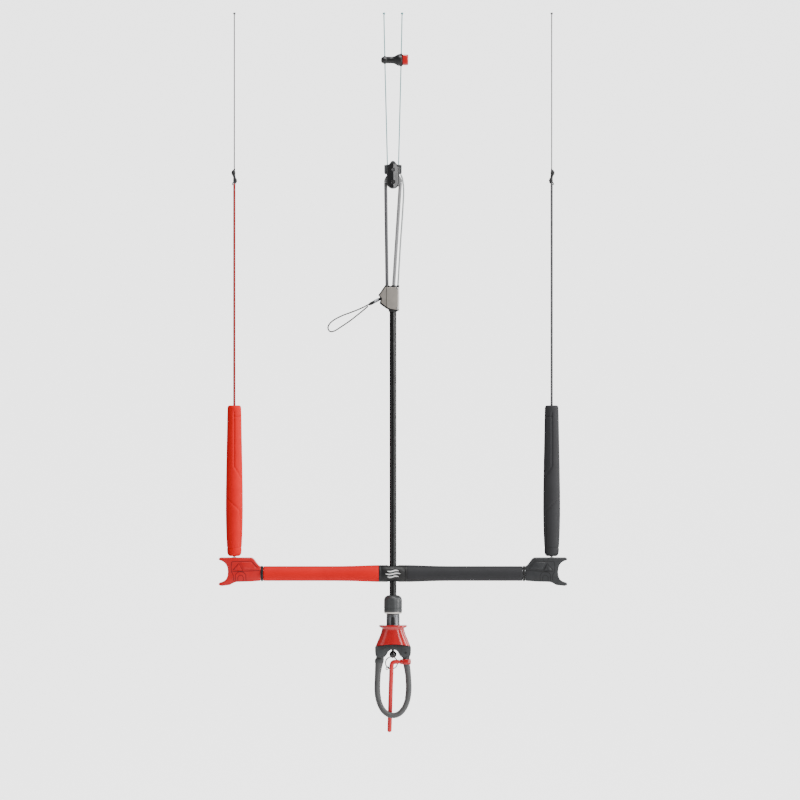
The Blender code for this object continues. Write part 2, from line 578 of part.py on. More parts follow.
def release():
    """The swivel, the sprung release handle and the fork that the chicken loop hangs on."""
    neck = [(0.0, -886.6), (7.8, -886.6), (7.8, -894.8), (3.6, -894.8), (3.6, -901.8), (9.3, -901.8),
            (NECK_RADIUS, -902.5), (NECK_RADIUS, NECK_SHOULDER_Z), (6.0, NECK_SHOULDER_Z), (6.0, HANDLE_END_Z),
            (4.0, HANDLE_END_Z), (4.0, -953.0), (0.0, -953.0)]
    lathe("swivel_neck", "Z", (0.0, 0.0), neck, GREY_METAL, count=24)

    turns = 4
    coil = []
    for i in range(turns * 11 + 1):
        t = 2 * math.pi * i / 11
        coil.append((8.3 * math.cos(t), 8.3 * math.sin(t), -920.9 - 22.0 * i / (turns * 11)))
    cord("release_spring", coil, 1.4, STEEL)

    outer = [(-918.5, 20.2, 14.4), (-919.1, 21.0, 15.2), (-921.6, 20.8, 15.0), (-923.2, 18.4, 13.8),
             (-925.2, 17.0, 13.0), (-932.0, 18.6, 13.2), (-940.0, 22.4, 13.6), (-947.6, 26.0, 14.0)]
    rings = [rounded_ring("Z", MIDDLE, z, a, b, 2.3, 28) for z, a, b in outer]
    foot = rounded_ring("Z", MIDDLE, 0.0, 25.6, 13.5, 2.3, 28)
    rings.append([(x, y, arch_z(x, HANDLE_END_Z)) for x, y, z in foot])
    for z, radius in ((HANDLE_END_Z, 6.5), (HANDLE_SEAT_Z, 6.5), (HANDLE_SEAT_Z, 10.3), (-919.1, 10.3), (-918.5, 10.8)):
        ring = rounded_ring("Z", MIDDLE, z, radius, radius, 2.0, 28)
        if z == HANDLE_END_Z:
            ring = [(x, y, arch_z(x, z)) for x, y, z in ring]
        rings.append(ring)
    loft("release_handle", rings, RED_PLASTIC, closed=True)

    half = [(FORK_HALF_WIDTH, arch_z(FORK_HALF_WIDTH, HANDLE_END_Z - 0.5)), (FORK_HALF_WIDTH, -959.0),
            (26.6, -962.4), (24.8, -965.2), (21.8, FORK_END_Z), (13.2, FORK_END_Z), (11.6, -966.0), (10.4, -964.2),
            (8.6, -960.8), (6.6, -957.7), (4.4, -956.2), (2.2, -955.6), (0.0, -955.4)]
    top = [(x, arch_z(x, HANDLE_END_Z - 0.5)) for x in (-20.0, -13.0, -6.0, 0.0, 6.0, 13.0, 20.0)]
    outline = top + half + [(-x, z) for x, z in reversed(half)][1:]
    fork = prism("fork_body", outline, -FORK_HALF_DEPTH, FORK_HALF_DEPTH, 1.2, DARK_PLASTIC)
    for side, way in SIDES:
        ends = sorted((way * 9.0, way * 29.0))
        boolean(fork, box_cutter("fork_slot_" + side, (ends[0], -3.6, -969.0), (ends[1], 3.6, -953.6)), "DIFFERENCE")
    boolean(fork, cutter("fork_shaft", "Z", (0.0, 0.0), 4.35, -953.4, -940.0), "DIFFERENCE")
    boolean(fork, cutter("fork_stem", "Z", (0.0, 0.0), 2.4, -958.0, -953.0, 16), "DIFFERENCE")
    boolean(fork, cutter("fork_pin", "Y", (PIN_X, PIN_Z), 2.3, -9.0, 9.0, 16), "DIFFERENCE")
    pin = [(0.0, -7.0), (1.7, -7.0), (2.0, -6.7), (2.0, 6.7), (1.7, 7.0), (0.0, 7.0)]
    lathe("loop_pin", "Y", (PIN_X, PIN_Z), pin, STEEL, count=16)

    ball = [(0.0, -953.7), (2.0, -953.7), (2.0, -957.7)] + sphere_arc(BALL_RADIUS, BALL_Z, 64, -90, 9)
    knob = lathe("swivel_ball", "Z", (0.0, 0.0), ball, BLACK_PLASTIC, count=18)
    ear = [(1.5, -963.0), (6.0, -962.6), (8.6, -964.2), (9.4, -965.8), (9.4, -967.8), (8.6, -969.2), (7.2, -969.6),
           (5.6, -969.0), (3.0, -966.8)]
    ear_rings = [[(x, y, z) for y, z in ear] for x in (RING_CENTRE[0], RING_CENTRE[0] + 2.2)]
    boolean(knob, loft("add_leash_ear", ear_rings, HELPER), "UNION")
    boolean(knob, cutter("leash_hole", "X", (RING_CENTRE[1], RING_CENTRE[2] + RING_RADIUS - 0.1), 1.2, -5.0, 3.0, 12),
            "DIFFERENCE")


def loop_section(place, normal, half_in, half_y, inward):
    """One section of the loop's tube: round, with a flat on the side that faces inward."""
    angles = [-FLAT_HALF_ANGLE, FLAT_HALF_ANGLE]
    step = (360 - 2 * FLAT_HALF_ANGLE) / 11
    angles += [FLAT_HALF_ANGLE + step * i for i in range(1, 11)]
    ring = []
    for angle in angles:
        t = math.radians(angle)
        across = half_in * math.cos(t) * inward
        ring.append((place[0] + normal[0] * across, half_y * math.sin(t), place[1] + normal[1] * across))
    return ring


def chicken_loop():
    """The loop that the harness hook carries, hinged on the right of the fork, and its finger."""
    pivot = (PIN_X, 0.0, PIN_Z)
    tang = [(PIN_X, PIN_Z + 5.9, 1.2, 3.2), (PIN_X, PIN_Z + 5.2, 3.2, 3.2), (PIN_X, PIN_Z + 3.4, 5.0, 3.2),
            (PIN_X, PIN_Z, 6.0, 3.2), (PIN_X, -966.0, 6.0, 3.2), (PIN_X + 0.1, -969.0, 6.0, 3.2)]
    wide = [(20.3, -969.5, 6.4, 4.4), (20.8, -974.0, 6.1, 4.4), (21.7, -981.0, 5.3, 4.4), (22.6, -990.0, 4.6, 4.4),
            (23.3, -1001.0, LOOP_RADIUS, LOOP_RADIUS)]
    slim = [(19.7, -969.5, 5.2, 4.4), (20.1, -978.0, 5.0, 4.4), (21.4, -984.0, 4.8, 4.4), (22.4, -991.0, 4.5, 4.4),
            (23.3, -1001.0, LOOP_RADIUS, LOOP_RADIUS)]
    right_tang = tang[:-1] + [(PIN_X + 0.1, -969.0, 5.2, 3.2)]
    stations = [(-x, z, a, b) for x, z, a, b in tang + wide]
    depth = LOOP_WIDEST_Z - LOOP_BOTTOM_Z
    curve = []
    for i in range(8):
        t = math.radians(90 * i / 8)
        x = LOOP_HALF_WIDTH * math.cos(t) ** 0.9
        curve.append((x, LOOP_WIDEST_Z - depth * math.sin(t) ** 0.9, LOOP_RADIUS, LOOP_RADIUS))
    curve[-1] = (6.0, LOOP_BOTTOM_Z, LOOP_RADIUS, LOOP_RADIUS)
    stations += [(-x, z, a, b) for x, z, a, b in curve]
    stations += list(reversed(curve)) + list(reversed(right_tang + slim))
    rings = []
    for i, (x, z, half_in, half_y) in enumerate(stations):
        before = stations[max(i - 1, 0)]
        after = stations[min(i + 1, len(stations) - 1)]
        along = Vector((after[0] - before[0], after[1] - before[1]))
        if z > -1000.0:
            along = Vector((0.0, -1.0 if x < 0 else 1.0))
        if abs(abs(x) - 6.0) < 1e-6 and z == LOOP_BOTTOM_Z:
            along = Vector((1.0, 0.0))
        along.normalize()
        rings.append(loop_section((x, z), (-along.y, along.x), half_in, half_y, 1.0))
    loop = loft("chicken_loop", rings, GREY_PLASTIC, pivot)
    boolean(loop, cutter("loop_pin", "Y", (PIN_X, PIN_Z), 2.3, -9.0, 9.0, 16), "DIFFERENCE")

    outer = [(-969.8, 6.6, 5.8), (-970.3, 7.0, 6.2), (-977.0, 7.0, 6.2), (-977.6, 6.6, 5.8)]
    rings = [rounded_ring("Z", (19.9, 0.0), z, a, b, 2.6, 20) for z, a, b in outer]
    rings += [rounded_ring("Z", (19.9, 0.0), z, 5.7, 4.85, 2.2, 20) for z in (-977.6, -969.8)]
    collar = loft("finger_collar", rings, RED_PLASTIC, pivot, closed=True)
    boss = lathe("add_finger_boss", "X", (ARM_Y, ARM_Z), [(0.0, 10.5), (3.6, 10.5), (3.6, 14.0), (0.0, 14.0)], HELPER,
                 count=16)
    boolean(collar, boss, "UNION")
    boolean(collar, cutter("finger_journal", "X", (ARM_Y, ARM_Z), 2.0, 8.0, 13.6, 16), "DIFFERENCE")

    arm = [((13.2, ARM_Y, ARM_Z), 1.6), ((10.3, ARM_Y, ARM_Z), 1.6), ((10.1, ARM_Y, ARM_Z), 2.9),
           ((6.0, ARM_Y, ARM_Z), 3.1), ((2.0, ARM_Y, ARM_Z - 0.1), 3.2), ((-0.6, ARM_Y, -975.2), 3.3),
           ((-2.0, -2.9, -978.2), 3.3), ((-2.3, -2.3, -983.0), 3.3)]
    for i in range(1, 9):
        t = i / 8
        arm.append(((-2.3 - 3.0 * t, -2.3 + 14.9 * t, -983.0 - 95.0 * t), 3.3))
    arm += [((-5.35, 12.85, -1079.6), 2.5), ((-5.4, 12.95, -1080.4), 1.2)]
    swept("retention_finger", [place for place, size in arm], [size for place, size in arm], RED_PLASTIC,
          (0.0, ARM_Y, ARM_Z))


def leash_rings():
    """The wire ring behind the ball and the small split ring on it."""
    pivot = (RING_CENTRE[0], RING_CENTRE[1], RING_CENTRE[2] + RING_RADIUS - 0.1)
    torus("leash_ring", RING_CENTRE, (0, 1, 0), RING_RADIUS, RING_WIRE, STEEL, pivot, 28, 6)
    out = Vector((-0.62, 0.0, -0.785)).normalized()
    along = Vector((out.z, 0.0, -out.x))
    centre = Vector(RING_CENTRE) + out * (RING_RADIUS + 1.0)
    torus("split_ring", centre, along + Vector((0, 1, 0)), 2.4, 0.45, STEEL, pivot, 14, 6)


for thing in list(bpy.data.objects):
    bpy.data.objects.remove(thing)

HELPER = material("helper", (0.5, 0.5, 0.5))
RED_PLASTIC = material("red_plastic", (0.65, 0.02, 0.03), roughness=0.3)
RED_FOAM = material("red_foam", (0.75, 0.02, 0.02), roughness=0.7)
GREY_FOAM = material("grey_foam", (0.06, 0.06, 0.06), roughness=0.7)
DARK_PLASTIC = material("dark_plastic", (0.07, 0.07, 0.075))
GREY_PLASTIC = material("grey_plastic", (0.13, 0.13, 0.13), roughness=0.6)
BLACK_PLASTIC = material("black_plastic", (0.012, 0.012, 0.013), roughness=0.3)
WHITE_PLASTIC = material("white_plastic", (0.7, 0.7, 0.68))
GREY_METAL = material("grey_metal", (0.3, 0.29, 0.27), 0.8, 0.4)
STEEL = material("steel", (0.6, 0.6, 0.6), 1.0, 0.25)
PALE_LINE = material("pale_line", (0.35, 0.55, 0.56), roughness=0.6)
GREY_ROPE = material("grey_rope", (0.22, 0.22, 0.22), roughness=0.8)
RED_ROPE = material("red_rope", (0.55, 0.02, 0.03), roughness=0.8)
BLACK_ROPE = material("black_rope", (0.02, 0.02, 0.02), roughness=0.8)

front_lines()
trim_block()
trim_ropes()
cleat()
trim_tail()
depower_line()
bar()
for side_name, side_way in SIDES:
    steering(side_name, side_way)
release()
chicken_loop()
leash_rings()
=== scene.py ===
"""Looks of a kitesurf control bar: lines, trim block, cleat, grip bar, floats and quick release.

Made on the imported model, which is loaded as a fixed frame. Sizes in the code are millimetres in the row frame
and become metres in mesh_piece. +Z is up the lines, -Y faces the rider and +X is to the right.
"""

import math

import bmesh
import bpy
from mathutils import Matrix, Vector


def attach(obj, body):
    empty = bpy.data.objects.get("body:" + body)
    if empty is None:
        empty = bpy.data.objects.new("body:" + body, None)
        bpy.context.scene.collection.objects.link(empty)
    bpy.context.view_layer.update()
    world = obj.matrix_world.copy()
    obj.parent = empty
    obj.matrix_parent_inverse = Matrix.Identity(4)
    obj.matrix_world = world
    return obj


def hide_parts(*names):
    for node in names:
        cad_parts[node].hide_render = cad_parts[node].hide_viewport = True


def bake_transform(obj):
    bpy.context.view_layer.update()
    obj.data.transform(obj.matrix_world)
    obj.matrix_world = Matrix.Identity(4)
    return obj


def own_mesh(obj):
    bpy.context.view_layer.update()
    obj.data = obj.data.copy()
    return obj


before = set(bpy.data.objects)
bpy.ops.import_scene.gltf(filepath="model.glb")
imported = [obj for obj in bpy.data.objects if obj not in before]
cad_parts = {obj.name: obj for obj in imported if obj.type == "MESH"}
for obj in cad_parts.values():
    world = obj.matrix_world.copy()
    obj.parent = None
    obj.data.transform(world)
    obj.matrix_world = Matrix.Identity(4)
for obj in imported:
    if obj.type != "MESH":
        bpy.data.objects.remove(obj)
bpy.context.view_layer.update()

bl_info = {
    "name": "Kitesurf Control Bar",
    "version": (1, 0, 0),
    "blender": (4, 5, 0),
    "location": "3D View > Sidebar > Control Bar",
    "description": "Builds a kitesurf control bar with its lines, trim cleat, floats and quick release",
    "category": "Object",
}

MM = 0.001
SIDES = (("left", -1), ("right", 1))
FACES = (("front", -1), ("back", 1))
BAR_Z = -841.5
FLOAT_X = 238.0
SHEAVE_Z = -254.3
EYE_Z = -236.0
PIN = (19.4, -960.0)
BLOCK_R = 12.7
BLOCK_POWER = 2.2


# ---------------------------------------------------------------- settings

def shade(name, text, default):
    """A colour the user can change, kept as sRGB."""
    return bpy.props.FloatVectorProperty(name=name, description=text, subtype="COLOR_GAMMA", size=3,
                                         min=0.0, max=1.0, default=srgb(default))


def srgb(code):
    """Three sRGB parts from a hex value."""
    return tuple(int(code[i:i + 2], 16) / 255 for i in (1, 3, 5))


def linear(colour):
    """sRGB parts, or a hex value, to the linear parts that shaders take."""
    parts = srgb(colour) if isinstance(colour, str) else colour
    return [c / 12.92 if c <= 0.04045 else ((c + 0.055) / 1.055) ** 2.4 for c in parts[:3]] + [1.0]


def size(name, text, default, low, high):
    return bpy.props.FloatProperty(name=name, description=text, default=default, min=low, max=high,
                                   subtype="DISTANCE", unit="LENGTH", precision=4)


class KITEBAR_PG_colours(bpy.types.PropertyGroup):
    """Colours of the bar's pieces."""
    left_foam: shade("Left foam", "Left grip and float", "#DC0006")
    right_foam: shade("Right foam", "Right grip and float", "#323234")
    left_cap: shade("Left end cap", "Moulded cap on the left end", "#C80008")
    right_cap: shade("Right end cap", "Moulded cap on the right end", "#2B2C2E")
    release: shade("Release", "Handle, finger and collar of the quick release", "#B80008")
    housing: shade("Housings", "Stopper, fork and crosshead", "#3A3C3D")
    loop: shade("Harness loop", "Covered harness loop", "#4E4E4E")
    front_line: shade("Front lines", "Front lines", "#5C9A9C")
    trim_rope: shade("Trim rope", "Rope through the trim block", "#757577")
    left_leader: shade("Left leader", "Leader through the left float", "#8E0208")
    right_leader: shade("Right leader", "Leader through the right float", "#38383A")
    plate: shade("Cleat plates", "Side plates of the cleat", "#A8A29B")


class KITEBAR_PG_sizes(bpy.types.PropertyGroup):
    """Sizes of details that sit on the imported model."""
    foam_cell: size("Foam grain", "Size of the grain on the foam", 0.0007, 0.0002, 0.003)
    seam_depth: size("Seam depth", "Depth of the seams in the floats", 0.0011, 0.0, 0.002)
    seam_width: size("Seam width", "Width of the seams in the floats", 0.0011, 0.0003, 0.003)
    plastic_grain: size("Plastic grain", "Size of the spark-eroded grain on moulded plastic", 0.0009, 0.0002,
                        0.003)


# ---------------------------------------------------------------- materials

def add(tree, kind, settings=None, inputs=None):
    """Adds a node with its settings, its values and its links."""
    made = tree.nodes.new("ShaderNode" + kind)
    for key, value in (settings or {}).items():
        setattr(made, key, value)
    for key, value in (inputs or {}).items():
        if isinstance(value, bpy.types.NodeSocket):
            tree.links.new(value, made.inputs[key])
        else:
            made.inputs[key].default_value = value
    return made


def blank(name, **values):
    """A material with one Principled shader and its constant values."""
    look = bpy.data.materials.new(name)
    look.use_nodes = True
    shader = look.node_tree.nodes["Principled BSDF"]
    for key, value in values.items():
        shader.inputs[key.replace("_", " ")].default_value = value
    return look, look.node_tree, shader


def vary(tree, shader, place, colour, spread, patch_mm):
    """Slow drift of the colour over patches of a real size, as dyed and moulded goods have."""
    cloud = add(tree, "TexNoise", None, {"Vector": place, "Scale": 1 / (patch_mm * MM), "Detail": 3.0})
    low = [c * (1 - spread) for c in linear(colour)[:3]] + [1.0]
    high = [min(c * (1 + spread), 1.0) for c in linear(colour)[:3]] + [1.0]
    ramp = add(tree, "ValToRGB", None, {"Fac": cloud.outputs["Fac"]})
    ramp.color_ramp.elements[0].position = 0.3
    ramp.color_ramp.elements[0].color = low
    ramp.color_ramp.elements[1].position = 0.7
    ramp.color_ramp.elements[1].color = high
    return ramp.outputs["Color"]


def raise_grain(tree, shader, height, depth_mm, strength):
    """Bump of a real depth from a height of 0 to 1."""
    bump = add(tree, "Bump", None, {"Height": height, "Distance": depth_mm * MM, "Strength": strength})
    tree.links.new(bump.outputs["Normal"], shader.inputs["Normal"])


def wear(tree, shader, amount, low, high, start=0.0, end=1.0):
    """Roughness that drifts between two values as an amount goes from start to end."""
    worn = add(tree, "MapRange", None, {"Value": amount, "From Min": start, "From Max": end, "To Min": low,
                                        "To Max": high})
    tree.links.new(worn.outputs["Result"], shader.inputs["Roughness"])


def moulded(name, colour, roughness, grain_mm, depth_mm, coat=0.0, spread=0.06):
    """Injection-moulded ABS or nylon: a fine eroded grain breaks up the highlight."""
    look, tree, shader = blank(name, Roughness=roughness, IOR=1.5, Coat_Weight=coat, Coat_Roughness=0.08)
    place = add(tree, "TexCoord").outputs["Object"]
    tree.links.new(vary(tree, shader, place, colour, spread, 14.0), shader.inputs["Base Color"])
    grain = add(tree, "TexNoise", None, {"Vector": place, "Scale": 1 / (grain_mm * MM), "Detail": 2.0})
    scuffs = add(tree, "TexNoise", None, {"Vector": place, "Scale": 1 / (6 * MM), "Detail": 5.0})
    wear(tree, shader, scuffs.outputs["Fac"], roughness * 0.8, min(roughness * 1.25 + 0.03, 1.0), 0.3, 0.75)
    raise_grain(tree, shader, grain.outputs["Fac"], depth_mm, 0.6)
    return look


def foam(name, colour, cell):
    """Cut and ground EVA foam: closed cells a fraction of a millimetre wide scatter most of the highlight."""
    look, tree, shader = blank(name, Roughness=0.72, IOR=1.48, Specular_IOR_Level=0.2)
    place = add(tree, "TexCoord").outputs["Object"]
    tree.links.new(vary(tree, shader, place, colour, 0.05, 20.0), shader.inputs["Base Color"])
    cells = add(tree, "TexVoronoi", {"feature": "SMOOTH_F1"},
                {"Vector": place, "Scale": 1 / cell, "Smoothness": 0.6})
    soft = add(tree, "TexNoise", None, {"Vector": place, "Scale": 1 / (3 * MM), "Detail": 4.0})
    both = add(tree, "Math", {"operation": "MULTIPLY_ADD"}, {0: cells.outputs["Distance"], 1: 0.6,
                                                             2: soft.outputs["Fac"]})
    raise_grain(tree, shader, both.outputs["Value"], 0.10, 0.7)
    wear(tree, shader, soft.outputs["Fac"], 0.5, 0.72)
    return look


def braid(name, colour, thickness_mm, strands, crown_highlight=None):
    """Braided Dyneema: strands cross in two spirals, and each is a raised, slightly shiny ridge. Its colour
    carries painted shade in the valleys between strands and, where a crown_highlight colour is given, a painted
    highlight on the strand crowns.
    """
    look, tree, shader = blank(name, Roughness=0.55, IOR=1.5, Sheen_Weight=0.08)
    parts = add(tree, "SeparateXYZ", None, {"Vector": add(tree, "TexCoord").outputs["UV"]})
    # strands across the rope's girth, and one full turn of a spiral in about three diameters
    girth = math.pi * thickness_mm * MM

    def maths(operation, a, b=0.0):
        return add(tree, "Math", {"operation": operation}, {0: a, 1: b}).outputs["Value"]
    turns = maths("MULTIPLY", parts.outputs["X"], math.pi * strands / girth)
    climb = maths("MULTIPLY", parts.outputs["Y"], math.pi * strands / (3.0 * thickness_mm * MM))
    first = maths("SINE", maths("ADD", turns, climb))
    second = maths("SINE", maths("SUBTRACT", turns, climb))
    cross = maths("MULTIPLY", first, second)
    ridge = add(tree, "MapRange", None, {"Value": cross, "From Min": -1.0, "From Max": 0.6})
    # painted shade: the valleys between the strands are coloured darker than the rope
    deep = [c * 0.68 for c in linear(colour)[:3]] + [1.0]
    ramp = add(tree, "ValToRGB", None, {"Fac": ridge.outputs["Result"]})
    ramp.color_ramp.elements[0].color = deep
    ramp.color_ramp.elements[1].position = 0.55
    ramp.color_ramp.elements[1].color = linear(colour)
    # painted highlight: the strand crowns turn towards the lighter crown_highlight colour
    if crown_highlight:
        extra = ramp.color_ramp.elements.new(0.97)
        extra.color = linear(crown_highlight)
    tree.links.new(ramp.outputs["Color"], shader.inputs["Base Color"])
    raise_grain(tree, shader, ridge.outputs["Result"], 0.05 * thickness_mm, 0.8)
    return look


def metal(name, colour, roughness, stretch=(1.0, 1.0, 1.0), line_mm=0.25, depth_mm=0.01):
    """Stainless steel or aluminium: a stretched grain is the brushing, an even one is blasting."""
    look, tree, shader = blank(name, Metallic=1.0, Roughness=roughness)
    place = add(tree, "TexCoord").outputs["Object"]
    tree.links.new(vary(tree, shader, place, colour, 0.08, 9.0), shader.inputs["Base Color"])
    drawn = add(tree, "Mapping", None, {"Vector": place, "Scale": stretch})
    lines = add(tree, "TexNoise", None,
                {"Vector": drawn.outputs["Vector"], "Scale": 1 / (line_mm * MM), "Detail": 3.0})
    wear(tree, shader, lines.outputs["Fac"], roughness * 0.75, roughness * 1.3)
    raise_grain(tree, shader, lines.outputs["Fac"], depth_mm, 0.5)
    return look


def make_finishes(colours, sizes):
    """Every material of the object, by a short name."""
    grain = sizes.plastic_grain / MM
    return {
        "foam_left": foam("red_eva_foam", colours.left_foam, sizes.foam_cell),
        "foam_right": foam("grey_eva_foam", colours.right_foam, sizes.foam_cell),
        "cap_left": moulded("red_nylon_cap", colours.left_cap, 0.36, grain, 0.03, 0.25),
        "cap_right": moulded("grey_nylon_cap", colours.right_cap, 0.42, grain, 0.03, 0.15),
        # dark strips for the caps' pressed lines: painted shade of grooves
        "groove_left": moulded("red_nylon_in_shadow", "#5E0206", 0.6, grain, 0.03),
        "groove_right": moulded("grey_nylon_in_shadow", "#0C0C0D", 0.6, grain, 0.03),
        "release": moulded("red_gloss_abs", colours.release, 0.2, 1.6, 0.012, 0.8),
        "finger": moulded("red_tpu_finger", "#D4141E", 0.3, grain, 0.02, 0.3),
        "housing": moulded("dark_nylon_housing", colours.housing, 0.42, grain, 0.03, 0.1),
        "loop": moulded("grey_tpu_loop", colours.loop, 0.55, 0.8, 0.04),
        "black": moulded("black_gloss_abs", "#0C0C0E", 0.24, 1.6, 0.01, 0.5),
        "label": moulded("black_soft_tpu", "#111112", 0.4, grain, 0.02, 0.1),
        "tube": moulded("black_extruded_pu_tube", "#060607", 0.3, 3.0, 0.002),
        "block": moulded("black_matt_tpu", "#060607", 0.5, grain, 0.01),
        "shrink": moulded("black_heat_shrink", "#151515", 0.5, 1.2, 0.05),
        "bush": moulded("natural_acetal_bush", "#D9D7CF", 0.4, 0.9, 0.01),
        # this black is the real colour of parting lines and seams, and also painted shade in the screw slots
        "dark_line": moulded("black_parting_line_and_painted_shade", "#08080A", 0.6, 1.0, 0.01),
        "mark": moulded("white_pad_print", "#E9E9E7", 0.5, 0.6, 0.01),
        "plate": metal("blasted_steel_plate", colours.plate, 0.5, (1.0, 1.0, 0.08), 0.3, 0.012),
        # the bright steel paints a highlight on the cleat plates' folded edge and on the stopper's lower
        # chamfer
        "edge": metal("steel_edge_painted_highlight", "#CFCAC5", 0.3, (1.0, 1.0, 0.08), 0.3, 0.01),
        "steel": metal("polished_stainless", "#C9CACC", 0.16),
        "wire": metal("drawn_stainless_wire", "#6B6C6E", 0.35),
        "band": moulded("black_rubber_band", "#050505", 0.7, 1.2, 0.02),
        "ring": metal("black_oxide_wire", "#232325", 0.45),
        "aluminium": metal("anodised_aluminium", "#9C9C9E", 0.34, (0.08, 1.0, 1.0), 0.3, 0.01),
        "neck": metal("turned_grey_aluminium", "#77787B", 0.36, (1.0, 1.0, 8.0), 0.5, 0.012),
        # the last colour given to a braid is the painted highlight on its strand crowns
        "front": braid("pale_dyneema_line", colours.front_line, 1.7, 8),
        "safety": braid("pale_safety_line", "#A9ADAD", 2.5, 8),
        "trim": braid("grey_trim_braid", colours.trim_rope, 5.0, 12, "#A4A4A4"),
        "trim_dark": braid("dark_trim_braid", "#3E3E40", 5.0, 12, "#6A6A6C"),
        "leader_left": braid("red_leader_braid", colours.left_leader, 3.6, 10, "#B8202A"),
        "leader_right": braid("grey_leader_braid", colours.right_leader, 3.6, 10, "#585858"),
        "steering": braid("grey_steering_line", "#4E4E50", 1.8, 8),
        "cord": braid("black_shock_cord", "#0B0B0C", 1.5, 8),
        "whipping": braid("black_whipping_twine", "#101011", 2.4, 10),
    }


FINISH = {}


# ---------------------------------------------------------------- meshes

def mesh_piece(name, points, faces, look, body, uvs=None, stands_for=(), cut=True):
    """A shown piece from points in millimetres, with outward faces, riding on a body."""
    mesh = bpy.data.meshes.new(name)
    mesh.from_pydata([Vector(p) * MM for p in points], [], faces)
    if uvs:
        layer = mesh.uv_layers.new(name="lay")
        for face in mesh.polygons:
            for loop in face.loop_indices:
                layer.data[loop].uv = uvs(face.index, mesh.loops[loop].vertex_index)
    work = bmesh.new()
    work.from_mesh(mesh)
    bmesh.ops.remove_doubles(work, verts=work.verts, dist=2e-6)
    bmesh.ops.recalc_face_normals(work, faces=work.faces)
    if cut:
        bmesh.ops.triangulate(work, faces=[f for f in work.faces if len(f.verts) > 4], ngon_method="EAR_CLIP")
    work.to_mesh(mesh)
    work.free()
    mesh.shade_smooth()
    mesh.set_sharp_from_angle(angle=math.radians(42))
    mesh.materials.append(FINISH[look])
    made = bpy.data.objects.new(name, mesh)
    bpy.context.scene.collection.objects.link(made)
    if body:
        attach(made, body)
    if stands_for:
        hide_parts(*stands_for)
    return made


def loft(name, rings, look, body, closed=False, ends=True, stands_for=()):
    """A skin over rings of equal count. Its UV map is laid out in metres, round the rings and along them."""
    count = len(rings[0])
    points = [Vector(p) for ring in rings for p in ring]
    faces, corner = [], []
    spans = len(rings) if closed else len(rings) - 1
    run = [0.0]
    for i in range(1, len(rings) + 1):
        before, here = points[(i - 1) * count], points[(i % len(rings)) * count]
        run.append(run[-1] + (here - before).length * MM)
    middle = rings[len(rings) // 2]
    girth = sum((Vector(middle[k]) - Vector(middle[k - 1])).length for k in range(count)) * MM
    for i in range(spans):
        here = i * count
        there = ((i + 1) % len(rings)) * count
        for k in range(count):
            n = (k + 1) % count
            faces.append((here + k, here + n, there + n, there + k))
            corner.append({here + k: (k, i), here + n: (k + 1, i), there + n: (k + 1, i + 1),
                           there + k: (k, i + 1)})
    if ends and not closed:
        faces.append(tuple(range(count)))
        faces.append(tuple(range((len(rings) - 1) * count, len(rings) * count)))

    def uvs(face, vertex):
        if face < len(corner):
            k, i = corner[face][vertex]
            return k * girth / count, run[i]
        return points[vertex].x * MM, points[vertex].z * MM
    return mesh_piece(name, points, faces, look, body, uvs, stands_for)


def turned(direction, a, b, along):
    if direction == "X":
        return (along, a, b)
    if direction == "Y":
        return (a, along, b)
    return (a, b, along)


def oval(direction, centre, along, half_a, half_b, power=2.0, count=48):
    """A rounded ring across an axis; a power over 2 squares it up."""
    ring = []
    for k in range(count):
        t = 2 * math.pi * (k + 0.5) / count
        c, s = math.cos(t), math.sin(t)
        a = half_a * math.copysign(abs(c) ** (2 / power), c)
        b = half_b * math.copysign(abs(s) ** (2 / power), s)
        ring.append(turned(direction, centre[0] + a, centre[1] + b, along))
    return ring


def lathe(name, direction, centre, profile, look, body, hollow=False, count=48, stands_for=()):
    """A turned piece; a hollow one has a closed profile."""
    rings = [oval(direction, centre, along, max(r, 0.02), max(r, 0.02), 2.0, count) for r, along in profile]
    return loft(name, rings, look, body, closed=hollow, stands_for=stands_for)


def rounded(outline, steps=4):
    """An outline or profile whose marked corners (a third value, the radius) are rounded."""
    count = len(outline)
    result = []
    for i, place in enumerate(outline):
        if len(place) < 3:
            result.append(tuple(place))
            continue
        here = Vector(place[:2])
        before, after = Vector(outline[i - 1][:2]), Vector(outline[(i + 1) % count][:2])
        start = here + (before - here).normalized() * min(place[2], (before - here).length * 0.49)
        end = here + (after - here).normalized() * min(place[2], (after - here).length * 0.49)
        for k in range(steps + 1):
            t = k / steps
            result.append(tuple(start * (1 - t) ** 2 + here * 2 * t * (1 - t) + end * t * t))
    return result


def filled(profile, spacing):
    """A profile with more rings between its own, so that a long taper shades evenly."""
    fine = []
    for (r0, a0), (r1, a1) in zip(profile, profile[1:]):
        steps = max(1, int(abs(a1 - a0) / spacing))
        for k in range(steps):
            fine.append((r0 + (r1 - r0) * k / steps, a0 + (a1 - a0) * k / steps))
    return fine + [profile[-1]]


def spread(values, steps):
    """The values with steps - 1 more between each two, to match the points of smooth_path."""
    result = []
    for a, b in zip(values, values[1:]):
        result += [a + (b - a) * k / steps for k in range(steps)]
    return result + [values[-1]]


def arc(centre, half_a, half_b, start, end, steps):
    """Points in two axes along a stretch of an ellipse, between two angles in degrees."""
    points = []
    for i in range(steps + 1):
        t = math.radians(start + (end - start) * i / steps)
        points.append((centre[0] + half_a * math.cos(t), centre[1] + half_b * math.sin(t)))
    return points


def off_outline(place, outline):
    """The distance from a place to the nearest side of a closed outline."""
    best = 1e9
    for (x0, z0), (x1, z1) in zip(outline, outline[1:] + outline[:1]):
        dx, dz = x1 - x0, z1 - z0
        t = max(0.0, min(1.0, ((place[0] - x0) * dx + (place[1] - z0) * dz) / max(dx * dx + dz * dz, 1e-12)))
        best = min(best, math.hypot(place[0] - x0 - dx * t, place[1] - z0 - dz * t))
    return best


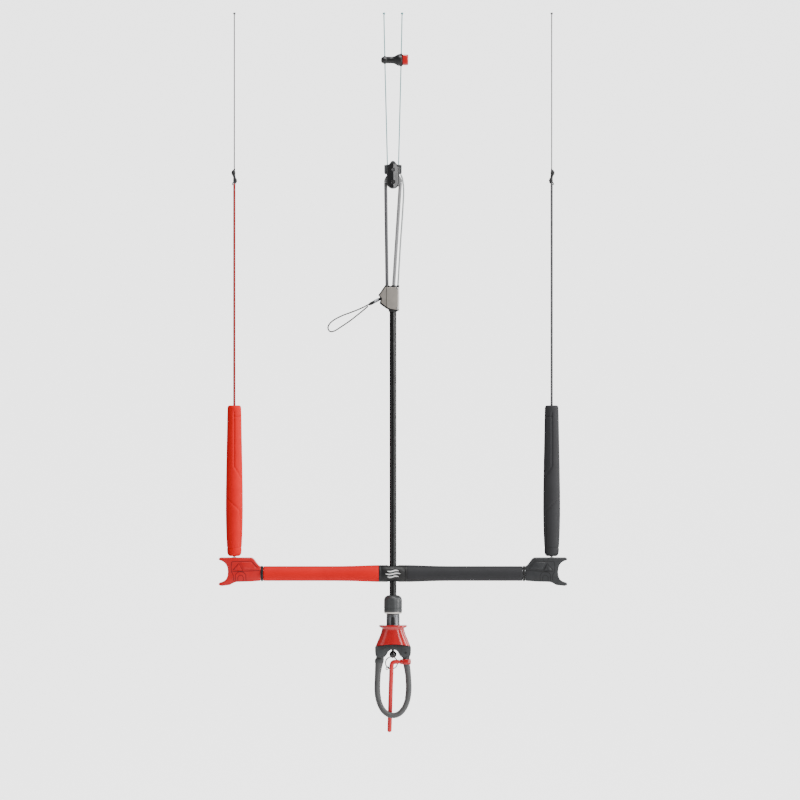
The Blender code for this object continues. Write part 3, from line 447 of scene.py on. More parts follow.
def inset(outline, amount):
    """The outline moved inward. Points that a small corner has no room for meet where its two sides cross."""
    count = len(outline)
    area = sum(a[0] * b[1] - b[0] * a[1] for a, b in zip(outline, outline[1:] + outline[:1]))
    way = 1.0 if area > 0 else -1.0
    moved = []
    for i, here in enumerate(outline):
        into = (Vector(here) - Vector(outline[i - 1])).normalized()
        out = (Vector(outline[(i + 1) % count]) - Vector(here)).normalized()
        n0 = Vector((-into.y, into.x)) * way
        n1 = Vector((-out.y, out.x)) * way
        middle = (n0 + n1).normalized()
        reach = amount / max(middle.dot(n0), 0.6)
        moved.append((here[0] + middle.x * reach, here[1] + middle.y * reach))
    sound = [off_outline(place, outline) > amount * 0.96 for place in moved]
    if all(sound) or not any(sound):
        return moved
    start = sound.index(True)
    order = [(start + k) % count for k in range(count + 1)]
    last = order[0]
    crowd = []
    for i in order[1:]:
        if not sound[i]:
            crowd.append(i)
            continue
        if crowd:
            a, b = Vector(moved[last]), Vector(moved[i])
            way_a = Vector(outline[(last + 1) % count]) - Vector(outline[last])
            way_b = Vector(outline[i]) - Vector(outline[i - 1])
            turn = way_a.x * way_b.y - way_a.y * way_b.x
            meet = (a + b) / 2
            if abs(turn) > 1e-6 * max(way_a.length * way_b.length, 1e-9):
                t = ((b.x - a.x) * way_b.y - (b.y - a.y) * way_b.x) / turn
                crossing = a + way_a * t
                if (crossing - meet).length < (a - b).length * 1.5 + amount:
                    meet = crossing
            for k in crowd:
                moved[k] = tuple(meet)
            crowd = []
        last = i
    return moved


def slab(name, outline, y_from, y_to, edge, look, body, steps=4, stands_for=()):
    """An outline in X and Z made solid between two places along Y, with rounded rims."""
    front, back = sorted((y_from, y_to))
    rim = []
    for i in range(steps + 1):
        t = math.pi / 2 * i / steps
        rim.append((edge * (1 - math.sin(t)), edge * (1 - math.cos(t))))
    levels = [(front + deep, less) for deep, less in reversed(rim)]
    levels += [(back - deep, less) for deep, less in rim]
    rings = []
    for y, amount in levels:
        base = outline if amount < 1e-6 else inset(outline, amount)
        rings.append([(x, y, z) for x, z in base])
    return loft(name, rings, look, body, stands_for=stands_for)


def cast_slab(name, outline, depth, edge, look, body, stands_for=()):
    """A sharp-cornered outline in X and Z made solid about Y = 0, with all of its edges rounded alike."""
    count = len(outline)
    points = [(x, -depth, z) for x, z in outline] + [(x, depth, z) for x, z in outline]
    faces = [tuple(range(count)), tuple(range(count, 2 * count))]
    faces += [(k, (k + 1) % count, count + (k + 1) % count, count + k) for k in range(count)]
    made = mesh_piece(name, points, faces, look, body, stands_for=stands_for, cut=False)
    work = bmesh.new()
    work.from_mesh(made.data)
    bmesh.ops.bevel(work, geom=list(work.edges), offset=edge * MM, segments=4, profile=0.5, affect="EDGES",
                    clamp_overlap=True)
    bmesh.ops.triangulate(work, faces=[f for f in work.faces if len(f.verts) > 4], ngon_method="EAR_CLIP")
    work.to_mesh(made.data)
    work.free()
    made.data.shade_smooth()
    made.data.set_sharp_from_angle(angle=math.radians(50))
    return made


def smooth_path(points, steps, closed=False):
    """A smooth curve through the points."""
    places = [Vector(p) for p in points]
    if closed:
        places = [places[-1]] + places + [places[0], places[1]]
    else:
        places = [2 * places[0] - places[1]] + places + [2 * places[-1] - places[-2]]
    path = []
    for i in range(1, len(places) - 2):
        a, b, c, d = places[i - 1:i + 3]
        for k in range(steps):
            t = k / steps
            path.append(0.5 * (2 * b + (c - a) * t + (2 * a - 5 * b + 4 * c - d) * t * t
                               + (3 * b - a - 3 * c + d) * t ** 3))
    if not closed:
        path.append(places[-2])
    return path


def even(path, spacing):
    """The path with points at an even spacing."""
    result, left = [Vector(path[0])], spacing
    for a, b in zip(path, path[1:]):
        a, b = Vector(a), Vector(b)
        span = (b - a).length
        while span > left:
            a = a + (b - a).normalized() * left
            span -= left
            result.append(a.copy())
            left = spacing
        left -= span
    if (result[-1] - Vector(path[-1])).length > spacing * 0.4:
        result.append(Vector(path[-1]))
    else:
        result[-1] = Vector(path[-1])
    return result


def pipe(name, path, sizes, look, body, count=16, closed=False, stands_for=(), wobble=None):
    """A round tube along a path. sizes is one radius, or one for each point."""
    radii = sizes if hasattr(sizes, "__len__") else [sizes] * len(path)
    rings = []
    side = Vector((0.0, 1.0, 0.03))
    last = len(path) - 1
    for i, (place, radius) in enumerate(zip(path, radii)):
        ahead = Vector(path[(i + 1) % len(path)] if closed else path[min(i + 1, last)])
        behind = Vector(path[i - 1] if closed else path[max(i - 1, 0)])
        along = (ahead - behind).normalized()
        side = (side - along * side.dot(along)).normalized()
        across = along.cross(side)
        ring = []
        for k in range(count):
            t = 2 * math.pi * k / count
            r = radius * (1 + (wobble(i, t) if wobble else 0.0))
            ring.append(Vector(place) + r * (math.cos(t) * side + math.sin(t) * across))
        rings.append(ring)
    return loft(name, rings, look, body, closed=closed, stands_for=stands_for)


def metres(points):
    return [tuple(Vector(p) * MM) for p in points]


def length_of(points):
    return sum((Vector(b) - Vector(a)).length for a, b in zip(points, points[1:])) * MM


def keep_node(node, look):
    """A CAD node that stays, with its own finish."""
    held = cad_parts[node]
    held.data.materials.clear()
    held.data.materials.append(FINISH[look])


def rope(name, path, thickness, look, body, nodes, count=14):
    """A free rope: a braided tube along its path."""
    made = pipe(name, path, thickness / 2, look, body, count, stands_for=nodes)
    tuple(Vector(path[0]) * MM)
    length_of(path)
    metres(path)
    return made


def line_end(name, x, thickness, look, body, node):
    """A stopper knot: the line's end wound once round itself and pulled tight."""
    radius = thickness * 0.42
    coil = []
    for i in range(45):
        t = i / 44
        turn = 2 * math.pi * 2.1 * t
        reach = 1.0 + 0.25 * math.sin(math.pi * t)
        coil.append((x + reach * math.cos(turn), reach * math.sin(turn), -2.5 + 2.0 * t))
    coil = [(x, 0.0, -2.9)] + coil + [(x + 0.4, 0.3, -0.55)]
    return pipe(name, coil, radius * 0.95, look, body, 8, stands_for=[node])


# ---------------------------------------------------------------- pieces

def build_front_lines(sizes):
    """Two front lines, the separator they run through, and their knots."""
    for side, way in SIDES:
        knot = line_end("front_end_" + side, way * 13.6, 1.7, "front", "front_lines", "front_knot_" + side)
        path = smooth_path([(way * 8.3, 0, -231.5), (way * 12.2, 0, -71.3), (way * 13.6, 0, -3.3)], 30)
        rope("front_line_tube_" + side, even(path, 3.0), 1.7, "front", "front_lines",
             ["front_line_" + side])

    # the bell is turned from one piece, with a lip where each line leaves it
    bell = [(0.02, -18.0), (2.2, -17.9), (3.9, -17.0), (4.9, -15.4), (5.15, -13.6), (5.15, -9.8), (4.9, -9.4),
            (4.9, -8.9), (5.15, -8.5), (5.1, -2.0), (5.3, 0.4), (6.0, 2.7), (7.2, 4.9), (8.3, 6.7), (8.85, 8.4),
            (9.0, 10.0), (9.0, 12.6), (8.75, 13.5), (8.3, 13.9), (0.02, 13.9)]
    lathe("separator_bell", "X", (0.0, -71.3), bell, "label", "front_lines", stands_for=["line_separator"])
    for side, way in SIDES:
        for end, z in (("top", -66.0 if way < 0 else -62.2), ("foot", -76.6 if way < 0 else -80.4)):
            sign = 1 if end == "top" else -1
            eye = ((1.0, -0.6), (2.0, -0.4), (2.1, 0.1), (1.7, 0.45), (1.15, 0.5), (1.0, 0.2))
            lathe("separator_eye_" + side + "_" + end, "Z", (way * 12.2, 0.0),
                  [(r, z + sign * dz) for r, dz in eye], "black", "front_lines", True, 24)

    rings = []
    for x, high, deep in ((14.1, 6.6, 6.0), (14.2, 7.5, 6.9), (14.7, 7.95, 7.35), (15.4, 8.05, 7.4),
                          (18.6, 8.05, 7.4), (21.6, 8.0, 7.4), (22.6, 7.6, 7.0), (23.0, 6.9, 6.3),
                          (23.1, 5.8, 5.2)):
        rings.append(oval("X", (0.0, -71.3), x, deep, high, 4.6, 48))
    loft("separator_red_tab", rings, "release", "front_lines", stands_for=["separator_tab"])
    rings = [oval("X", (0.0, -71.3), x, d, h, 4.6, 48) for x, d, h in
             ((13.8, 7.0, 7.7), (14.35, 7.5, 8.15), (14.35, 6.2, 7.0), (13.8, 6.2, 7.0))]
    loft("separator_seam", rings, "dark_line", "front_lines", closed=True)


def build_block(sizes):
    """The trim block: dome, cheeks, rivets, sheave and the rope over it."""
    dome = [(0.0, -222.5), (-1.8, -222.8), (-3.2, -224.0), (-4.6, -226.1), (-5.9, -227.7), (-7.4, -228.4),
            (-12.4, -228.7, 0.6), (-13.2, -229.5, 0.5), (-13.2, -240.4, 1.6), (-12.1, -242.6, 0.8),
            (-8.2, -242.6, 0.6)]
    arch = arc((0.0, SHEAVE_Z), 14.3, 14.3, 125, 55, 8)[1:-1]
    outline = dome + arch + [(-p[0],) + tuple(p[1:]) for p in reversed(dome)][:-1]
    slab("block_dome", rounded(outline), -5.0, 5.0, 1.4, "housing", "front_lines",
         stands_for=["block_crosshead"])
    for side, way in SIDES:
        collar = [(0.95, -230.0), (2.2, -229.8), (2.3, -228.9), (1.8, -228.25), (1.15, -228.2), (0.95, -228.6)]
        lathe("block_line_collar_" + side, "Z", (way * 8.5, 0.0), collar, "black", "front_lines", True, 24)
    cheek = arc((0.0, EYE_Z + 0.5), 9.5, 9.5, 0, 180, 24) + arc((0.0, SHEAVE_Z), 9.9, 9.9, 180, 360, 24)
    for name, way in FACES:
        # each cheek is pressed to a roof with its ridge down the middle
        rings = [[(x, way * 5.3, z) for x, z in inset(cheek, 0.5)]]
        for less in (0.0, 0.12, 0.4, 0.9, 2.0, 3.5, 5.0, 6.5, 8.0, 9.0):
            rise = min(1.0, (0.15 + less) / 1.05) ** 0.6
            ring = inset(cheek, less) if less else cheek
            rings.append([(x, way * (5.4 + rise * (0.3 + 3.0 * (1 - abs(x) / 10.5))), z) for x, z in ring])
        loft("block_cheek_shell_" + name, rings, "black", "front_lines", stands_for=["block_cheek_" + name])
        flange = rounded([(1.7, way * 8.5), (3.2, way * 8.5), (3.25, way * 9.3, 0.3), (2.2, way * 9.5, 0.3),
                        (1.7, way * 9.0)])
        lathe("block_rivet_" + name, "Y", (0.0, EYE_Z), flange, "black", "front_lines", True, 32,
              stands_for=["block_eyelet"] if way < 0 else ())
        floor = [(0.02, way * 8.62), (1.75, way * 8.62), (1.75, way * 8.9), (0.02, way * 8.9)]
        lathe("block_eye_floor_" + name, "Y", (0.0, EYE_Z), floor, "steel", "front_lines", False, 24)
        dish = [(3.4, way * 8.6), (3.3, way * 9.0), (2.7, way * 9.1), (2.35, way * 8.9), (2.3, way * 8.6)]
        lathe("block_axle_ring_" + name, "Y", (0.0, SHEAVE_Z), dish, "black", "front_lines", True, 32)
        head = rounded([(0.02, way * 9.05), (1.3, way * 9.02), (2.2, way * 8.8, 0.2), (2.25, way * 8.3),
                        (0.02, way * 8.3)])
        lathe("block_axle_head_" + name, "Y", (0.0, SHEAVE_Z), head, "shrink", "front_lines", False, 24,
              stands_for=["block_axle"] if way < 0 else ())
    keep_node("block_sheave", "aluminium")

    turn = [(x, 0.0, z) for x, z in arc((0.0, SHEAVE_Z), 11.0, 11.0, 0, 180, 32)]
    turn = [(11.0, 0.0, SHEAVE_Z - 0.6)] + turn + [(-11.0, 0.0, SHEAVE_Z - 0.6)]
    pipe("trim_turn_braid", turn, 2.5, "trim", "front_lines", 18, stands_for=["trim_turn"])


def build_trim_ropes(sizes):
    """Two legs of the trim rope and the thin safety line."""
    top, foot = SHEAVE_Z - 0.9, -409.5
    for side, start, end, look in (("left", -11.0, -9.0, "trim_dark"), ("right", 11.0, 1.0, "trim")):
        path = [Vector((start, 0, top)).lerp(Vector((end, 0, foot)), i / 60) for i in range(61)]
        leg = rope("trim_leg_braid_" + side, path, 5.0, look, "front_lines", ["trim_leg_" + side],
                   count=18)
        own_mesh(leg)
    points = [(11.6, -1.5, -243.1), (14.5, -1.5, -251.0), (15.9, -1.0, -269.0), (14.4, 0.0, -300.0),
              (11.0, 0.0, -350.0), (7.5, 0.0, foot)]
    path = even(smooth_path(points, 16), 3.0)
    line = rope("safety_line_braid", path, 2.5, "safety", "front_lines", ["safety_line"])
    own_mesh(line)


CLEAT = [(-12.2, -410.0, 1.2), (9.4, -410.8, 1.0), (9.4, -447.0, 1.2), (5.7, -448.2, 1.0), (-6.5, -446.3, 2.5),
         (-13.4, -441.9, 2.5), (-20.3, -436.5, 1.6), (-18.2, -428.7, 1.5), (-22.2, -424.2, 1.2)]


def build_cleat(sizes):
    """The cleat: body, plates whose right edge carries a painted highlight, screws, rope collars, and the tail
    with its pull loop.
    """
    outline = rounded(CLEAT)
    slab("cleat_core", outline, -6.6, 6.6, 0.5, "label", "depower_line", stands_for=["cleat_body"])
    socket = rounded([(3.9, -446.2), (6.6, -446.2), (6.6, -448.4, 0.3), (6.2, -449.0, 0.2), (3.9, -449.0)])
    lathe("cleat_tube_socket", "Z", (0.0, 0.0), socket, "label", "depower_line", True, 48)
    face = rounded([(-11.6, -412.0, 1.0), (8.6, -412.5, 1.0), (8.6, -445.4, 1.0), (5.2, -446.1, 1.0),
                    (-6.0, -443.9, 2.4), (-12.2, -439.8, 2.4), (-17.9, -435.0, 1.4), (-16.4, -428.6, 1.6),
                    (-20.4, -424.4, 1.2)])
    for name, way in FACES:
        slab("cleat_plate_skin_" + name, face, way * 6.4, way * 7.4, 0.5, "plate", "depower_line",
             stands_for=["cleat_plate_" + name])
        # a folded edge on the right in a bright steel that paints its highlight, a dark pressed line on the
        # left and a pressed frame between them
        section = [(6.9, 7.2), (7.1, 7.85), (9.3, 7.05), (9.45, 5.4), (6.9, 5.4)]
        fold = [[(x, way * y, z) for x, y in section] for z in (-412.3, -445.8)]
        loft("cleat_edge_painted_highlight_" + name, fold, "edge", "depower_line")
        groove = rounded([(-10.4, -412.2, 0.1), (-9.5, -412.2, 0.1), (-9.5, -441.9, 0.1), (-10.4, -441.3, 0.1)])
        slab("cleat_pressed_line_" + name, groove, way * 7.2, way * 7.46, 0.05, "dark_line", "depower_line")
        frame_line = rounded([(-8.2, -414.6, 1.2), (4.4, -415.0, 1.2), (4.4, -442.6, 1.2), (-5.4, -441.6, 1.6),
                              (-8.2, -439.6, 1.4)])
        hole = inset(frame_line, 0.45)
        rings = [[(x, way * 7.2, z) for x, z in frame_line],
                 [(x, way * 7.48, z) for x, z in inset(frame_line, 0.1)],
                 [(x, way * 7.48, z) for x, z in inset(frame_line, 0.35)],
                 [(x, way * 7.2, z) for x, z in hole]]
        loft("cleat_pressed_frame_" + name, rings, "plate", "depower_line", closed=True)
        for spot, z in (("upper", -413.9), ("lower", -443.9)):
            head = rounded([(0.02, way * 8.25), (0.9, way * 8.22), (1.35, way * 8.05, 0.2), (1.5, way * 7.3),
                            (0.02, way * 7.3)])
            lathe("cleat_rivet_" + spot + "_" + name, "Y", (6.2, z), head, "steel", "depower_line", False, 24,
                  stands_for=["cleat_screw_" + spot] if way < 0 else ())
            # a black strip across each head: painted shade for its slot
            slot = rounded([(5.2, z - 0.18, 0.05), (7.2, z - 0.18, 0.05), (7.2, z + 0.18, 0.05),
                            (5.2, z + 0.18, 0.05)])
            slab("cleat_slot_painted_shade_" + spot + "_" + name, slot, way * 8.1, way * 8.29, 0.04, "dark_line",
                 "depower_line")
    for name, x, r in (("left", -8.95, 2.9), ("right", 1.0, 2.9), ("safety", 7.4, 1.6)):
        lip = [(r - 0.35, -409.3), (r + 0.3, -409.2), (r + 0.7, -409.8), (r + 0.7, -411.4), (r - 0.35, -411.4)]
        lathe("cleat_rope_lip_" + name, "Z", (x, 0.0), lip, "black", "depower_line", True, 32)

    pivot, way = Vector((-20.9, 0.0, -430.2)), Vector((-0.8276, -0.34, -0.4467))

    def tail(distance):
        return pivot + way * distance

    stub = [tail(-7.0 + 0.45 * i) for i in range(21)]
    rod = pipe("tail_rope_braid", stub, 1.9, "trim_dark", None, 16)
    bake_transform(rod)
    ferrule = [(0.0, 1.75), (0.25, 2.05), (1.4, 2.12), (1.6, 1.95), (2.0, 1.95), (2.2, 2.12), (7.8, 2.12),
               (8.0, 1.95), (8.4, 1.95), (8.6, 2.12), (9.8, 2.05), (10.1, 1.8)]
    pipe("tail_ferrule_tube", [tail(d) for d, r in ferrule], [r * 1.12 for d, r in ferrule], "neck",
         "trim_tail", 24, stands_for=["tail_ferrule"])
    wound = []
    for i in range(60):
        d = 10.3 + 8.2 * i / 59
        swell = 2.3 - 0.9 * max(0.0, (d - 14.8) / 3.7) ** 1.4
        wound.append((d, swell + 0.13 * math.sin(2 * math.pi * (d - 10.3) / 0.8)))
    pipe("tail_whipping", [tail(d) for d, r in wound], [r for d, r in wound], "whipping", "trim_tail", 24,
         stands_for=["tail_wrap"])
    points = [(-36.6, -6.4, -438.2), (-48.3, -11.4, -444.2), (-63.6, -14.2, -450.4), (-75.0, -14.3, -454.6),
              (-86.6, -14.3, -460.4), (-94.2, -14.3, -466.4), (-97.2, -14.3, -472.4), (-95.6, -14.3, -477.6),
              (-91.6, -14.3, -479.0), (-86.2, -14.3, -477.2), (-78.6, -14.3, -472.4), (-63.4, -14.2, -462.0),
              (-48.3, -11.8, -450.0), (-37.6, -6.6, -441.0)]
    rope("pull_loop_cord", even(smooth_path(points, 10), 1.6), 2.1, "cord", "trim_tail",
         ["pull_loop"], count=10)


def build_depower(sizes):
    """The depower tube and the stopper at its foot."""
    tube = [(3.9, -449.0), (5.0, -449.0), (5.2, -449.3), (5.2, -660.0), (5.2, -879.3), (3.9, -879.3)]
    lathe("depower_tube_skin", "Z", (0.0, 0.0), tube, "tube", "depower_line", True, 48,
          stands_for=["depower_tube"])
    keep_node("depower_rope", "trim")
    barrel = rounded([(5.5, -882.0), (5.5, -874.6), (6.4, -873.9, 0.5), (9.6, -874.6, 2.0),
                      (12.9, -877.6, 2.4), (13.6, -881.6, 1.6), (13.6, -893.4), (13.25, -893.6),
                      (13.25, -894.2), (13.6, -894.4), (13.6, -898.2, 1.2), (13.0, -900.6, 1.0),
                      (11.6, -901.4, 0.6), (4.2, -901.4), (4.2, -899.0)])
    lathe("stopper_shell", "Z", (0.0, 0.0), barrel, "housing", "depower_line", True, 64,
          stands_for=["stopper_barrel"])
    # a ring of the bright steel over the stopper's lower chamfer: a painted highlight
    foot = [(10.6, -900.9), (13.2, -898.9), (13.62, -898.9), (13.62, -899.6), (12.4, -901.35), (11.0, -901.6)]
    lathe("stopper_foot_painted_highlight", "Z", (0.0, 0.0), foot, "edge", "depower_line", True, 64)


def crown(across, radius):
    """How far the centre block's squared-up round stands out at a distance across it."""
    return radius * max(1 - (abs(across) / radius) ** BLOCK_POWER, 0.0) ** (1 / BLOCK_POWER)


def bar_surface(x, z, proud):
    """The front of the centre block at a place, for marks printed on it."""
    return (x, -crown(z - BAR_Z, BLOCK_R + proud), z)


def build_bar(sizes):
    """The grip bar: centre block with its printed mark, bush, tubes, grips and rings."""
    half = [(-20.9, 0.35), (-20.8, 0.12), (-20.6, 0.0), (-19.4, 0.0), (-18.0, 0.0), (-17.6, 0.25), (-17.2, 0.0),
            (-8.0, 0.0), (0.0, 0.0)]
    skin = []
    for x, less in half + [(-x, less) for x, less in reversed(half[:-1])]:
        skin.append(oval("X", (0.0, BAR_Z), x, BLOCK_R - less, BLOCK_R - less, BLOCK_POWER, 64))
    block = loft("centre_block_skin", skin, "block", "bar", stands_for=["centre_block"])
    # the tube's slot, wide enough for the bar to tilt
    slot = []
    for dz, half in ((-14.0, 9.6), (-7.0, 7.8), (0.0, 7.4), (7.0, 7.8), (14.0, 9.6)):
        slot.append(oval("Z", (0.0, 0.0), BAR_Z + dz, half, 6.6 if abs(dz) > 8 else 6.3, 2.2, 40))
    cut = loft("centre_slot_tool", slot, "block", None)
    step = block.modifiers.new("slot", "BOOLEAN")
    step.object = cut
    step.operation = "DIFFERENCE"
    bpy.context.view_layer.objects.active = block
    with bpy.context.temp_override(object=block, active_object=block, selected_objects=[block]):
        bpy.ops.object.modifier_apply(modifier="slot")
    bpy.data.objects.remove(cut)
    for way, name in ((1, "top"), (-1, "foot")):
        lip = []
        for wide, deep, dz in ((9.75, 6.9, 0.0), (10.2, 7.3, 0.25), (10.2, 7.3, -0.9), (9.3, 6.5, -1.6),
                               (9.3, 6.5, -0.4)):
            ring = oval("Z", (0.0, 0.0), 0.0, wide, deep, 2.2, 48)
            lip.append([(x, y, BAR_Z + way * (crown(y, BLOCK_R) + dz)) for x, y, z in ring])
        loft("centre_slot_lip_" + name, lip, "black", "bar", closed=True)
    keep_node("centre_bush", "bush")

    # a plain mark of three strokes, printed in white
    for i, (middle, half, lift) in enumerate(((0.0, 8.6, 4.3), (0.0, 11.4, 0.0), (0.0, 8.6, -4.3))):
        strip = []
        for k in range(33):
            t = -1 + 2 * k / 32
            x = middle + half * t
            z = BAR_Z + lift + 0.9 * math.sin(math.pi * t)
            wide = 0.95 * math.sqrt(max(1 - t * t, 0.0)) + 0.05
            strip.append([bar_surface(x, z + wide, 0.10), bar_surface(x, z - wide, 0.10),
                          bar_surface(x, z - wide, -0.15), bar_surface(x, z + wide, -0.15)])
        loft("centre_mark_" + str(i + 1), strip, "mark", "bar")

    for side, way in SIDES:
        grip = [(8.4, 21.3), (12.3, 21.3), (12.6, 21.45), (12.7, 21.9), (12.65, 26.0), (12.35, 36.0),
                (11.95, 46.0), (11.6, 56.0), (11.35, 66.0), (11.2, 76.0), (11.1, 90.0), (11.1, 120.0),
                (11.1, 150.0), (11.1, 192.0), (11.0, 193.6), (10.6, 194.3), (9.8, 194.6), (8.4, 194.6)]
        shell = lathe("grip_foam_" + side, "X", (0.0, BAR_Z), [(r, way * x) for r, x in filled(grip, 3.0)],
                      "foam_" + side, "bar", True, 64, stands_for=["grip_" + side])
        washer = [(8.4, 20.6), (12.5, 20.6), (12.5, 21.5), (8.4, 21.5)]
        lathe("centre_seal_" + side, "X", (0.0, BAR_Z), [(r, way * x) for r, x in washer], "band", "bar",
              True, 64)
        keep_node("core_tube_" + side, "aluminium")
        band = rounded([(8.4, 195.0), (11.4, 195.0, 0.3), (11.6, 195.6, 0.2), (11.6, 197.4, 0.3), (11.3, 198.0),
                        (8.4, 198.0)])
        lathe("bar_ring_band_" + side, "X", (0.0, BAR_Z), [(r, way * a) for r, a in band], "band", "bar",
              True, 64, stands_for=["bar_ring_" + side])


def build_caps(sizes):
    """The forked end caps, with a raised chevron and a raised panel on both faces, dark strips of painted shade
    for their pressed lines and arch, and the leader's bushing.
    """
    for side, way in SIDES:
        half = [(198.4, -830.4), (201.0, -829.4), (203.4, -826.6), (208.4, -819.6), (212.2, -817.4),
                (258.8, -817.4), (261.0, -818.4), (261.0, -820.8), (256.4, -822.4), (252.6, -824.6),
                (249.8, -828.0), (248.0, -832.6), (247.3, -839.0), (248.0, -845.0), (250.0, -849.8),
                (253.8, -853.0), (258.0, -854.6), (261.0, -855.4), (261.0, -858.6), (257.0, -859.9),
                (244.4, -858.4), (239.6, -855.6), (235.4, -853.9), (214.0, -853.3), (198.4, -852.2)]
        look = "cap_" + side
        cast_slab("end_cap_body_" + side, [(way * x, z) for x, z in half], 9.8, 1.15, look, "bar",
                  stands_for=["end_cap_" + side])
        for name, face in FACES:
            # a raised chevron and a raised panel, with their edges cut on a slope
            chevron = [(231.0, -827.0, 0.8), (238.8, -835.8, 0.6), (234.2, -836.4, 0.6), (230.9, -832.4, 0.6),
                       (229.8, -836.6, 0.6), (226.2, -836.6, 0.6)]
            panel = [(228.6, -824.2, 0.8), (213.6, -823.6, 0.8), (203.8, -834.6, 0.8), (223.4, -835.2, 0.8)]
            for title, shape in (("chevron", chevron), ("panel", panel)):
                slab("cap_" + title + "_" + side + "_" + name, rounded([(way * x, z, r) for x, z, r in shape],
                                                                       3), face * 9.4, face * 10.7, 0.8, look,
                     "bar", 3)
            arch = arc((228.2, -845.2), 7.9, 6.8, 0, 180, 16)
            lines = {"arch": [(236.1, -852.6)] + arch + [(220.3, -853.0)], "inner_arch": [(232.4, -852.2),
                                                                                          (232.2, -846.4),
                                                                                          (230.0, -843.6),
                                                                                          (226.4, -843.6),
                                                                                          (224.2, -846.4),
                                                                                          (224.0, -852.2)],
                     "top": [(241.2, -823.4), (228.8, -822.9), (212.2, -822.6), (203.0, -832.2)],
                     "side": [(241.2, -823.4), (242.4, -830.0), (242.2, -838.0), (239.2, -843.6),
                              (238.6, -851.6)], "waist": [(240.4, -838.2), (226.0, -837.8), (199.6, -836.6)],
                     "peak": [(240.0, -836.4), (231.0, -825.8), (225.2, -836.8)], }
            # each line is a dark strip of painted shade for a pressed groove
            for title, line in lines.items():
                groove("cap_groove_" + title + "_" + side + "_" + name, [(way * x, z) for x, z in line],
                       face * 9.8, "groove_" + side, "bar")
        # the leader's bushing in the top of the cap
        seat = rounded([(2.0, -817.0), (3.4, -816.9, 0.2), (4.0, -817.5, 0.3), (4.0, -819.0), (2.0, -819.0)])
        lathe("cap_leader_bushing_" + side, "Z", (way * FLOAT_X, 0.0), seat, "black", "bar", True, 32)


def groove(name, line, face, look, body):
    """A line 0.9 mm wide along a path on a flat face, drawn as a strip whose top stands a hair above the face;
    its dark finish is painted shade standing for a cut groove.
    """
    half, out = 0.45, math.copysign(1.0, face)
    strip = []
    for i, here in enumerate(line):
        ahead = Vector(line[min(i + 1, len(line) - 1)]) - Vector(line[max(i - 1, 0)])
        ahead.normalize()
        side = Vector((-ahead.y, ahead.x)) * half
        a, b = Vector(here) + side, Vector(here) - side
        strip.append([(a.x, face - out * 0.4, a.y), (a.x, face + out * 0.06, a.y),
                      (b.x, face + out * 0.06, b.y), (b.x, face - out * 0.4, b.y)])
    return loft(name, strip, look, body)


def seam_near(s, z, line):
    """The distance from a place on an unrolled surface to a run of straight seam lines."""
    best = 1e9
    for (s0, z0), (s1, z1) in zip(line, line[1:]):
        ds, dz = s1 - s0, z1 - z0
        t = max(0.0, min(1.0, ((s - s0) * ds + (z - z0) * dz) / (ds * ds + dz * dz)))
        best = min(best, math.hypot(s - s0 - ds * t, z - z0 - dz * t))
    return best


